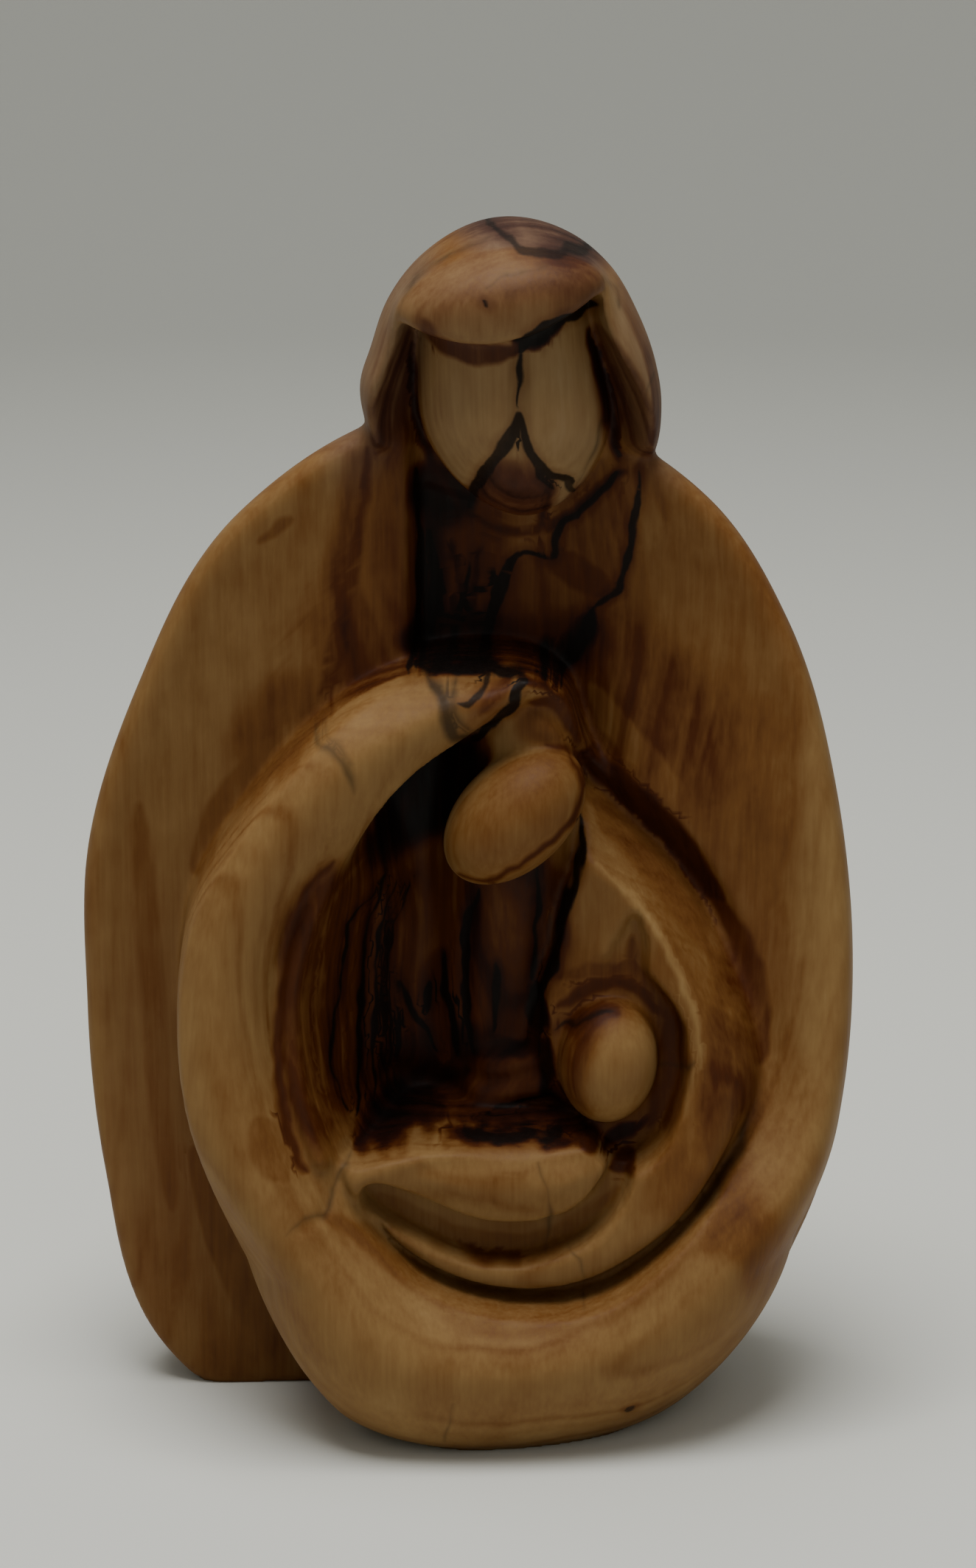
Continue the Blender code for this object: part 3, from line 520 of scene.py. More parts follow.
def relief_field(x, y, z):
    """Distance, roughly, to the relief: its height over the point, divided by its slope."""
    h = 0.25
    here = relief(x, z)
    slope_x = (relief(x + h, z) - relief(x - h, z)) / (2 * h)
    slope_z = (relief(x, z + h) - relief(x, z - h)) / (2 * h)
    return (-y - here) / np.sqrt(1 + slope_x ** 2 + slope_z ** 2)


def hood(x, y, z):
    """The older figure's hood, opened in front round a blank face, with a thick fold over the brow."""
    shell = bulged(x, y, z, HOOD_MIDDLE, HOOD_OUTLINE, HOOD_DEPTH, HOOD_DEPTH, HOOD_EDGE, -0.5)
    shell = smooth_min(shell, ellipsoid(x, y, z, *BROW), BROW_BLEND)
    middle = HOOD_MIDDLE[0] - 0.07 * (z - 99)
    half = OPENING_HALF + OPENING_WIDENS * ease((113 - z) / 14) + LAPELS_WIDEN * ease((OPENING_END - z) / 3)
    across = np.abs(x - middle) / half
    top = OPENING_TOP + OPENING_ARCH * (x - ARCH_MIDDLE) ** 2
    into = np.maximum(across - 1, (z - top) / 9.0) * 9.0
    floor = OPENING_FLOOR + 9.0 * np.clip(across, 0, 1.3) ** 3
    cut = smooth_max(into, floor + y, 1.0)
    shell = smooth_max(shell, -cut, 0.7)
    (middle_x, proud, middle_z), (radius_x, radius_y, radius_z) = FACE
    above = ease((z - 100) / 14)
    face_x = (x - middle_x + 0.10 * (z - 100)) / (radius_x - 0.7 * above)
    face_y = (y + proud) / radius_y
    face_z = (z - middle_z) / radius_z
    k = np.abs(face_x) ** 1.7 + np.abs(face_y) ** 1.8 + np.where(z < middle_z, np.abs(face_z) ** 1.9, 0.0)
    face = (np.maximum(k, 1e-9) ** 0.45 - 1) * 8.5
    face = smooth_max(face, z - FACE_TOP, 1.0)
    return smooth_min(shell, face, 0.5)


def keel(x, y, z):
    """Distance, roughly, past the lower front: an egg that stands on a smaller footprint."""
    across = np.abs(x - FOOT_MIDDLE) / np.where(x < FOOT_MIDDLE, FOOT_LEFT, FOOT_RIGHT)
    ahead = np.maximum(-y, 0.0) / FOOT_FRONT
    k = np.hypot(across, ahead) + 1e-6
    outside = (1 - 1 / k) * np.hypot(x - FOOT_MIDDLE, y)
    rise = np.clip(z / KEEL_HEIGHT, 0, 1)
    swell = KEEL_SWELL * (1 - (1 - rise) ** 2 + 1e-6) ** 0.6 + 0.5 * np.maximum(z - KEEL_HEIGHT, 0)
    return smooth_min(outside - swell, -y - 3.5, 2.0)


def scored(x, z):
    """How deep the knife's fine cuts go: a rounded V along each line, fading out at both its ends."""
    deep = 0.0
    for depth, half, *points in FINE_CUTS:
        d, share = along_line(x, z, points)
        deep = np.maximum(deep, depth * np.exp(-(d / half) ** 2) * ease(6 * share) * ease(6 - 6 * share))
    return deep


def carved(x, y, z):
    """Negative in the wood, positive in the air."""
    block = bulged(x, y, z, BLOCK_MIDDLE, BLOCK_OUTLINE, BLOCK_FRONT, BLOCK_BACK, BLOCK_EDGE)
    body = smooth_max(block, relief_field(x, y, z), RIM_ROUNDING)
    body = smooth_max(body, keel(x, y, z), KEEL_BLEND)
    body = smooth_min(body, hood(x, y, z), HOOD_BLEND)
    body = body + scored(x, z) * (y < -CUTS_FROM)
    for head in VEILED_HEAD, CHILD_HEAD:
        body = smooth_min(body, ellipsoid(x, y, z, *head), HEAD_BLEND)
    return smooth_max(body, -z, BASE_BLEND)


def filled(field):
    """The field without pinches: no cell's side has only two opposite corners of wood, and no bubble."""
    field = np.array(field)
    while True:
        pinched = 0
        for axis in range(3):
            side = np.moveaxis(field, axis, 0)
            a, b, c, d = side[:, :-1, :-1], side[:, 1:, :-1], side[:, :-1, 1:], side[:, 1:, 1:]
            for one, two, other, another in ((a, d, b, c), (b, c, a, d)):
                cross = (one < 0) & (two < 0) & (other >= 0) & (another >= 0)
                pinched += cross.sum()
                other[cross] = PINCH_FILL
        wood = field < 0
        lone = ~wood[1:-1, 1:-1, 1:-1]
        for axis in range(3):
            for side in (slice(0, -2), slice(2, None)):
                window = [slice(1, -1)] * 3
                window[axis] = side
                lone = lone & wood[tuple(window)]
        pinched += lone.sum()
        field[1:-1, 1:-1, 1:-1][lone] = PINCH_FILL
        if not pinched:
            return field


def surface_nets(field, low, cell):
    """Points and outward-facing quads of the zero level of a field on a grid of cells."""
    inside = field < 0
    corner = [slice(0, -1), slice(1, None)]
    corners = np.stack([inside[i, j, k] for i in corner for j in corner for k in corner])
    mixed = corners.any(0) & ~corners.all(0)
    cells = np.argwhere(mixed)
    index = np.full(mixed.shape, -1)
    index[mixed] = np.arange(len(cells))
    total = np.zeros((len(cells), 3))
    count = np.zeros((len(cells), 1))
    for axis in range(3):
        one, other = [a for a in range(3) if a != axis]
        for shift in ((0, 0), (0, 1), (1, 0), (1, 1)):
            start = cells.copy()
            start[:, one] += shift[0]
            start[:, other] += shift[1]
            end = start.copy()
            end[:, axis] += 1
            here, there = field[tuple(start.T)], field[tuple(end.T)]
            crosses = (here < 0) != (there < 0)
            point = (start - cells).astype(float)
            point[:, axis] += np.where(crosses, here / np.where(crosses, here - there, 1.0), 0.0)
            total += point * crosses[:, None]
            count += crosses[:, None]
    points = (cells + total / count) * cell + low
    quads = []
    for axis in range(3):
        one, other = (axis + 1) % 3, (axis + 2) % 3
        lower, upper = [slice(None)] * 3, [slice(None)] * 3
        lower[axis], upper[axis] = corner
        edge = np.argwhere(inside[tuple(lower)] != inside[tuple(upper)])
        ring = []
        for shift in ((1, 1), (0, 1), (0, 0), (1, 0)):
            near = edge.copy()
            near[:, one] -= shift[0]
            near[:, other] -= shift[1]
            ring.append(index[tuple(near.T)])
        quad = np.stack(ring, axis=1)
        turned = ~inside[tuple(edge.T)]
        quad[turned] = quad[turned][:, ::-1]
        quads.append(quad)
    return points, np.concatenate(quads)


def grid(low, high, cell):
    """Three open axes of a grid of points that holds a box."""
    return np.ogrid[tuple(slice(a, b + cell, cell) for a, b in zip(low, high))]


def read_field(field, places):
    """The field at places measured in cells, by blending the eight grid points round each one."""
    base = np.clip(np.floor(places).astype(int), 0, np.array(field.shape) - 2)
    share = places - base
    value = 0.0
    for corner in np.ndindex(2, 2, 2):
        weight = np.abs(1 - np.array(corner) - share).prod(axis=1)
        value = value + weight * field[tuple((base + corner).T)]
    return value


def pulled_to_level(points, field, low, cell, rounds=3):
    """Points slid along the field's slope until they lie on its zero level."""
    for _ in range(rounds):
        places = (points - low) / cell
        here = read_field(field, places)
        slope = np.zeros_like(points)
        for axis in range(3):
            step = np.zeros(3)
            step[axis] = 0.5
            slope[:, axis] = (read_field(field, places + step) - read_field(field, places - step)) / cell
        steep = np.maximum((slope ** 2).sum(axis=1), 0.05)
        points = points - np.clip(here / steep, -0.4 * cell, 0.4 * cell)[:, None] * slope
    return points


def sanded(field, rounds):
    """The field with its creases rounded: half of each value and a quarter of each neighbour's."""
    for _ in range(rounds):
        for axis in range(3):
            side = np.moveaxis(field, axis, 0)
            side[1:-1] = 0.5 * side[1:-1] + 0.25 * (side[:-2] + side[2:])
    return field


def carved_surface(cell):
    """Points and quads of the carving in carver's units, its base flat and its plan centred."""
    low, high = np.array(BOX_LOW), np.array(BOX_HIGH)
    axes = grid(low, high, cell)
    field = np.array(np.broadcast_to(carved(*axes), [a.size for a in axes]))
    field = filled(sanded(field, SANDING_ROUNDS))
    points, quads = surface_nets(field, low, cell)
    points = pulled_to_level(points, field, low, cell)
    points[:, 2] = np.where(points[:, 2] < FLAT_BELOW, 0.0, points[:, 2])
    middle = (points.min(axis=0) + points.max(axis=0)) / 2
    return points - (middle[0], middle[1], 0.0), quads, middle


# Marks of the wood, with some painted shadows, painted shade and a painted highlight among them, drawn in
# the front view: half width, tone, then the line's points as x, z, x, z.
BLACK_VEINS_AND_SHADOWS = (
    (0.3, 0.8, 1.6, 119.7, 4.0, 118.9, 5.0, 118.0, 6.6, 117.6, 9.2, 117.8, 12.0, 117.3, 14.2, 116.2),
    (0.22, 1.0, 4.9, 108.6, 4.9, 105.7, 4.7, 103.5),
    (0.55, 0.96, 4.7, 102.9, 4.3, 100.7, 3.1, 98.5, 1.7, 96.8, 0.7, 94.7, 0.1, 91.3),
    (0.5, 0.96, 4.9, 102.8, 5.4, 100.3, 6.4, 97.9, 8.1, 96.4, 10.2, 95.1),
    (0.4, 0.92, 4.2, 101.4, 3.2, 99.9, 2.3, 98.1, 1.6, 97.4),
    (0.35, 0.92, 5.9, 99.4, 6.9, 96.5, 8.2, 94.8),
    (0.3, 0.9, 8.9, 96.2, 9.9, 94.5, 10.4, 93.9),
    # not a vein: painted black shadow under the brow's right end
    (0.8, 1.0, 4.9, 108.6, 5.7, 110.0, 7.3, 111.1, 9.6, 111.8, 12.2, 112.4),
    (0.5, 1.0, -3.9, 88.9, -3.3, 85.9, -3.5, 82.2, -3.8, 79.2, -4.8, 77.1),
    (0.4, 1.0, -5.1, 95.5, -4.9, 90.4, -4.8, 86.0, -4.9, 81.5, -5.2, 78.8, -5.8, 76.6),
    (0.3, 1.0, 0.6, 87.1, -0.4, 83.0, -1.4, 79.2, -1.9, 77.4),
    (0.6, 1.0, 5.0, 86.7, 4.1, 85.6, 3.0, 82.8, 2.1, 80.0, 1.7, 78.1, 2.1, 77.4),
    (0.35, 1.0, 5.0, 86.7, 7.1, 86.5, 8.4, 86.3, 8.6, 88.3, 9.2, 89.7, 11.5, 91.5, 13.6, 94.0, 14.6, 95.2),
    (0.3, 1.0, 16.7, 95.6, 16.5, 92.5, 15.9, 87.9, 15.2, 84.4, 14.8, 83.2, 13.2, 82.4, 12.3, 81.2),
    (0.8, 1.0, 12.3, 81.2, 11.8, 79.6, 10.4, 76.7, 9.2, 75.4),
    (0.5, 1.0, 7.7, 77.8, 7.5, 76.4),
    (0.3, 1.0, -4.9, 76.9, -2.3, 77.3, 1.2, 77.3, 3.5, 77.3, 5.5, 77.1),
    (0.25, 0.9, 2.1, 77.2, 1.6, 76.4, 0.9, 75.5, 0.1, 74.9, -0.9, 74.9),
    (0.55, 1.0, 5.6, 76.9, 4.8, 76.1, 4.4, 74.5, 3.2, 73.2, 1.7, 71.4, 0.5, 69.8),
    (0.16, 1.0, -8.7, 55.1, -9.4, 53.7, -11.1, 52.8, -12.0, 51.1, -12.4, 47.1, -13.0, 43.4, -13.5, 40.7,
     -13.7, 38.0, -13.0, 35.5, -12.0, 32.9),
    (0.2, 1.0, -8.3, 55.4, -8.9, 53.1, -10.0, 51.1, -10.5, 47.1, -10.7, 42.4, -11.0, 39.6, -11.0, 35.7,
     -11.1, 32.2),
    (0.22, 1.0, -7.2, 54.8, -8.0, 52.4, -8.9, 49.9, -9.3, 45.9, -9.3, 42.0, -9.5, 39.1, -9.7, 35.9,
     -9.5, 32.5),
    (0.14, 0.95, -6.2, 54.5, -7.6, 51.1, -8.5, 48.1, -8.8, 44.1, -8.6, 40.3, -8.8, 36.5, -8.1, 33.0),
    (0.14, 0.95, -5.4, 54.6, -6.3, 52.7, -7.5, 49.9, -8.0, 47.2, -8.3, 43.2, -7.8, 39.4, -8.0, 35.3,
     -7.0, 32.0),
    (0.3, 1.0, -7.3, 44.6, -7.2, 41.4, -7.0, 38.4, -7.4, 34.7),
    (0.3, 1.0, -6.9, 43.7, -5.9, 40.4, -4.4, 38.4, -3.3, 36.2),
    (0.45, 1.0, 1.2, 54.5, 0.5, 52.9, -0.2, 50.7, -0.4, 46.8, -0.3, 42.8, 0.1, 38.9, 0.5, 36.6),
    (0.35, 1.0, -2.4, 47.0, -2.5, 43.0, -1.5, 39.4, -1.2, 36.2),
    (0.35, 1.0, -4.0, 43.5, -4.2, 40.2),
    (0.35, 1.0, 2.7, 46.8, 2.8, 43.3, 2.5, 39.2),
    (0.3, 1.0, 6.8, 56.9, 6.9, 52.9, 6.6, 48.8, 6.4, 44.8),
    (0.35, 1.0, 10.7, 63.3, 11.3, 59.6, 11.0, 58.3, 10.3, 55.7, 9.4, 52.6, 8.9, 49.6, 8.6, 47.5, 7.5, 45.4,
     6.5, 43.5),
    (0.12, 0.75, 8.2, 41.3, 10.1, 42.3, 12.2, 43.8, 14.4, 44.2),
    (0.2, 0.9, -0.4, 31.3, 3.4, 31.0, 6.5, 31.0, 9.4, 31.3),
    (0.2, 0.9, 2.5, 31.9, 6.4, 32.7, 8.3, 33.4),
    (0.25, 0.9, 1.6, 113.8, 1.8, 113.3),
    (0.35, 0.8, 15.7, 4.2, 16.4, 4.9),
)
SOFT_VEINS = (
    (0.16, 0.7, 2.3, 118.8, -0.8, 117.7, -3.3, 116.6, -4.9, 115.3, -6.1, 113.4, -6.6, 111.6),
    (0.8, 0.85, -3.9, 76.8, -2.9, 75.9, -2.1, 74.6, -1.9, 72.9, -1.2, 71.5, 1.2, 70.8),
    (0.4, 0.8, -1.2, 76.9, -1.5, 75.1, -0.9, 73.2, 0.4, 71.9),
    (0.55, 0.6, -15.0, 71.0, -13.3, 70.8, -12.0, 69.7, -11.2, 68.0, -10.9, 66.6),
    (0.4, 0.5, -13.9, 71.9, -12.3, 71.0, -11.2, 69.4),
    (0.3, 0.7, 8.2, 51.9, 8.2, 48.0),
    (0.2, 0.7, -11.5, 29.8, -12.2, 29.0, -13.4, 27.2, -13.7, 25.5, -14.2, 25.0, -16.0, 25.3, -17.7, 23.9),
    (0.2, 0.7, 6.8, 29.5, 7.6, 27.5, 8.1, 24.9, 7.9, 21.3, 7.7, 19.8),
    (0.18, 0.7, 10.0, 20.3, 11.0, 19.8, 11.6, 18.1, 11.4, 15.4, 11.4, 15.2),
    (0.2, 0.7, 19.1, 37.6, 20.9, 37.6, 22.0, 39.1),
    (0.25, 0.7, 13.2, 101.8, 12.3, 99.1, 11.5, 96.9, 10.5, 94.6),
    (0.5, 0.7, 27.7, 33.0, 27.0, 29.8, 25.0, 26.7, 22.6, 23.7),
    (0.12, 0.7, -1.5, 7.1, -2.0, 4.2, -2.4, 1.9),
    (0.12, 0.7, 1.8, 115.0, 2.8, 115.7, 4.8, 116.2, 7.6, 116.8),
    (0.12, 0.7, 18.0, 105.6, 17.1, 104.5, 16.7, 103.2),
    (0.12, 0.7, 12.7, 115.6, 14.2, 113.7, 14.5, 112.6),
)
BROWN_MARKS_SHADE_AND_HIGHLIGHT = (
    # brown band under the brow's left end: partly brown wood, partly painted shade under the overhang
    (1.0, 0.6, -4.1, 111.6, -3.1, 109.5, -1.4, 108.7, 0.9, 108.4, 3.2, 108.6, 4.9, 109.2),
    (1.5, 0.52, 12.2, 110.1, 14.0, 107.3, 15.5, 104.4, 16.3, 101.0, 15.9, 97.9, 15.3, 95.8),
    # dark line down the face's right edge: painted shade in the crease between face and hood
    (0.6, 0.86, 11.4, 110.0, 12.0, 107.7, 12.9, 105.1, 13.6, 102.4, 14.2, 99.4, 14.6, 96.9),
    (1.0, 0.56, -5.6, 109.6, -6.5, 107.0, -6.9, 104.1, -6.6, 100.9, -5.4, 98.4),
    # dark line down the face's left edge to the chin: painted shade in the crease, over the face's brownish
    # rim
    (0.4, 0.84, -5.6, 109.6, -5.5, 106.0, -5.2, 101.8, -4.3, 98.1, -3.1, 95.1, -1.4, 92.2, 0.1, 90.9),
    (0.5, 0.7, 0.5, 90.4, 2.5, 89.2, 4.9, 88.8, 7.6, 89.3, 9.6, 90.3, 11.7, 92.3, 13.7, 94.4, 15.3, 95.5),
    (1.1, 0.66, 2.8, 94.6, 4.1, 95.4, 5.3, 94.7, 5.6, 93.3, 4.8, 92.0),
    (0.35, 0.8, 7.8, 94.2, 7.5, 92.4, 7.2, 89.6),
    (0.5, 0.9, -4.0, 87.3, -3.7, 83.0, -3.6, 79.2, -4.8, 77.0),
    (0.45, 0.88, -1.5, 88.2, -2.4, 83.7, -2.7, 79.2, -3.1, 77.2),
    (0.3, 0.82, 1.2, 87.4, 0.5, 83.0, -0.2, 78.5, -0.8, 77.4),
    (1.6, 0.62, 8.1, 86.0, 10.0, 85.4, 12.1, 84.0, 13.5, 83.3),
    (1.3, 0.9, 12.2, 80.6, 11.2, 78.6, 9.6, 76.9, 8.6, 75.9),
    (0.6, 0.84, 7.7, 78.0, 7.5, 76.9, 7.2, 76.4),
    (0.45, 0.62, -9.8, 97.9, -10.1, 92.7, -11.0, 87.4, -11.8, 82.4, -12.8, 77.2, -13.6, 72.9),
    (0.3, 0.66, -9.4, 94.9, -10.6, 89.7, -11.5, 84.6, -12.0, 80.1, -12.7, 74.3),
    (0.3, 0.6, -11.5, 86.8, -12.5, 82.3, -13.6, 77.9, -14.6, 73.2),
    (0.5, 0.46, -20.3, 88.7, -18.7, 90.0, -17.3, 91.0),
    (0.6, 0.46, 18.0, 95.5, 18.5, 93.5, 19.4, 90.8),
    (0.5, 0.64, -12.9, 59.5, -15.2, 57.2, -16.4, 54.2, -17.2, 50.7, -17.8, 47.0, -18.5, 42.4, -18.6, 38.9,
     -18.2, 35.5, -17.2, 31.6, -16.0, 29.2),
    (0.55, 0.62, -14.3, 56.1, -15.5, 53.7, -16.4, 50.1),
    (0.35, 0.52, -10.3, 57.7, -12.3, 56.2, -13.8, 53.8, -14.9, 51.0, -15.5, 47.1, -16.1, 42.1, -15.9, 38.6,
     -15.1, 35.7, -13.5, 33.2, -11.6, 31.6),
    (0.3, 0.48, -13.9, 52.9, -14.4, 48.1, -14.9, 43.5, -14.8, 39.2, -14.1, 35.5),
    (1.3, 0.66, -2.5, 47.0, -3.8, 43.5, -3.3, 38.9, -2.5, 35.1),
    (0.35, 0.66, 6.5, 56.9, 6.9, 52.1, 6.5, 47.2, 6.1, 44.0),
    (0.3, 0.6, 8.4, 52.6, 8.1, 48.1, 7.2, 45.3),
    (0.5, 0.62, 2.3, 57.9, 2.8, 52.1, 2.5, 47.3, 2.8, 43.3, 2.8, 39.2),
    (1.0, 0.98, 6.7, 44.3, 7.0, 42.4, 6.5, 40.2),
    (0.8, 0.9, 0.5, 36.7, 2.8, 37.7, 5.3, 37.7, 7.7, 38.9),
    (0.6, 0.95, 7.9, 40.1, 8.0, 36.6, 7.4, 32.8),
    (0.5, 0.95, -10.9, 30.2, -7.6, 31.2, -4.0, 32.2, -0.1, 34.8),
    (0.4, 0.9, -11.2, 30.0, -8.2, 30.6, -5.3, 31.3, -2.5, 31.8),
    (0.25, 0.8, 0.5, 31.9, 3.4, 32.0, 6.4, 32.7, 8.2, 33.0),
    (0.3, 0.8, 2.2, 31.3, 4.9, 31.5, 7.6, 31.6, 8.8, 31.8),
    (0.2, 0.84, -2.4, 31.1, 1.2, 31.2, 4.9, 31.0, 8.5, 31.1, 12.1, 30.8),
    (0.9, 0.74, 9.0, 35.1, 9.9, 32.3, 11.2, 31.4, 12.8, 30.5),
    (0.9, 0.86, 13.8, 29.8, 15.0, 30.5, 16.8, 31.3),
    (0.9, 0.68, 14.1, 27.9, 15.5, 28.4, 16.2, 29.0),
    (0.85, 0.54, 8.6, 46.6, 12.1, 47.4, 16.2, 47.4, 18.7, 45.1, 20.4, 42.1, 20.9, 38.6, 20.4, 34.7,
     19.5, 31.6),
    (0.6, 0.66, 8.9, 43.6, 11.4, 45.3, 14.3, 46.4, 16.9, 45.6, 18.4, 43.2),
    (0.9, 0.56, 19.4, 41.8, 19.6, 37.9, 18.9, 34.1, 17.8, 31.0),
    (0.35, 0.6, 9.5, 41.7, 11.4, 43.5, 13.5, 44.3, 14.9, 44.0),
    (0.5, 0.56, 16.2, 51.0, 16.0, 49.3, 15.4, 47.8),
    # dark band down the wall right of the veiled head and the arm's outside: partly dark wood, partly
    # painted shade on the undercut wall
    (1.7, 0.7, 11.4, 67.7, 14.1, 64.9, 17.5, 62.0, 20.3, 58.9, 22.8, 55.3, 25.3, 52.5),
    (1.3, 0.6, 24.5, 53.2, 26.6, 50.0, 27.9, 46.7, 28.8, 42.4, 29.0, 37.6),
    (1.6, 0.46, 12.6, 62.7, 16.0, 59.8, 19.1, 56.6, 21.5, 53.3, 23.4, 49.4),
    (0.3, 0.5, 16.6, 58.4, 19.9, 54.9, 22.8, 50.7, 25.3, 45.8, 26.1, 41.4, 26.0, 36.1, 24.8, 31.2),
    (0.25, 0.46, 19.3, 51.9, 22.2, 46.9, 23.3, 42.2, 23.5, 36.4, 22.6, 32.1),
    # pale line along the arm's ridge: a painted highlight
    (0.35, 0.22, 12.5, 58.4, 15.8, 55.4, 18.5, 51.9, 20.5, 47.9, 22.3, 43.5, 22.9, 38.6),
    (1.25, 0.37, -2.7, 16.8, 0.5, 15.6, 4.9, 14.9, 9.2, 14.8, 13.0, 15.7, 16.6, 17.7, 19.8, 20.3,
     22.3, 23.0, 24.5, 26.1),
    (0.8, 0.44, 23.9, 25.5, 26.0, 28.8, 27.0, 33.3),
    (0.7, 0.42, -13.9, 25.0, -10.6, 22.8, -7.4, 19.8, -3.1, 17.0),
    (1.0, 0.42, -8.9, 25.3, -5.7, 23.2, -2.0, 21.2, 2.0, 20.1, 6.1, 19.9, 9.6, 21.3, 12.5, 23.7,
     14.8, 25.9),
    (0.5, 0.56, -1.6, 20.4, 1.7, 19.4, 5.2, 19.4, 8.1, 20.1),
    (0.7, 0.36, -2.4, 15.2, 2.0, 14.0, 7.0, 13.8, 12.1, 14.5),
    (1.7, 0.38, -20.4, 34.8, -19.4, 31.9, -17.7, 29.2),
    (0.7, 0.62, 5.9, 74.6, 7.9, 74.6, 9.8, 72.7, 10.9, 69.7),
    (0.3, 0.66, 7.4, 70.2, 9.4, 69.6, 10.8, 68.1, 11.2, 66.3, 10.2, 63.5, 7.8, 61.5, 4.8, 59.2, 1.6, 57.2,
     -0.9, 57.7),
    (0.7, 0.5, 4.1, 77.2, 2.8, 75.8, 1.3, 73.9),
    (0.3, 0.66, 4.8, 77.2, 7.4, 76.2, 9.5, 74.2, 10.9, 70.9),
    (1.5, 0.46, 12.2, 73.7, 14.4, 70.3, 18.0, 66.3, 21.6, 62.1),
    (1.2, 0.42, -32.8, 62.2, -32.3, 52.2, -31.8, 41.3, -31.5, 30.3, -30.4, 19.1),
    (1.3, 0.44, -15.5, 71.0, -20.7, 66.7, -25.2, 61.3, -27.4, 55.2),
    (1.6, 0.46, -28.0, 25.5, -25.6, 15.8, -22.4, 7.7, -18.7, 2.0),
)

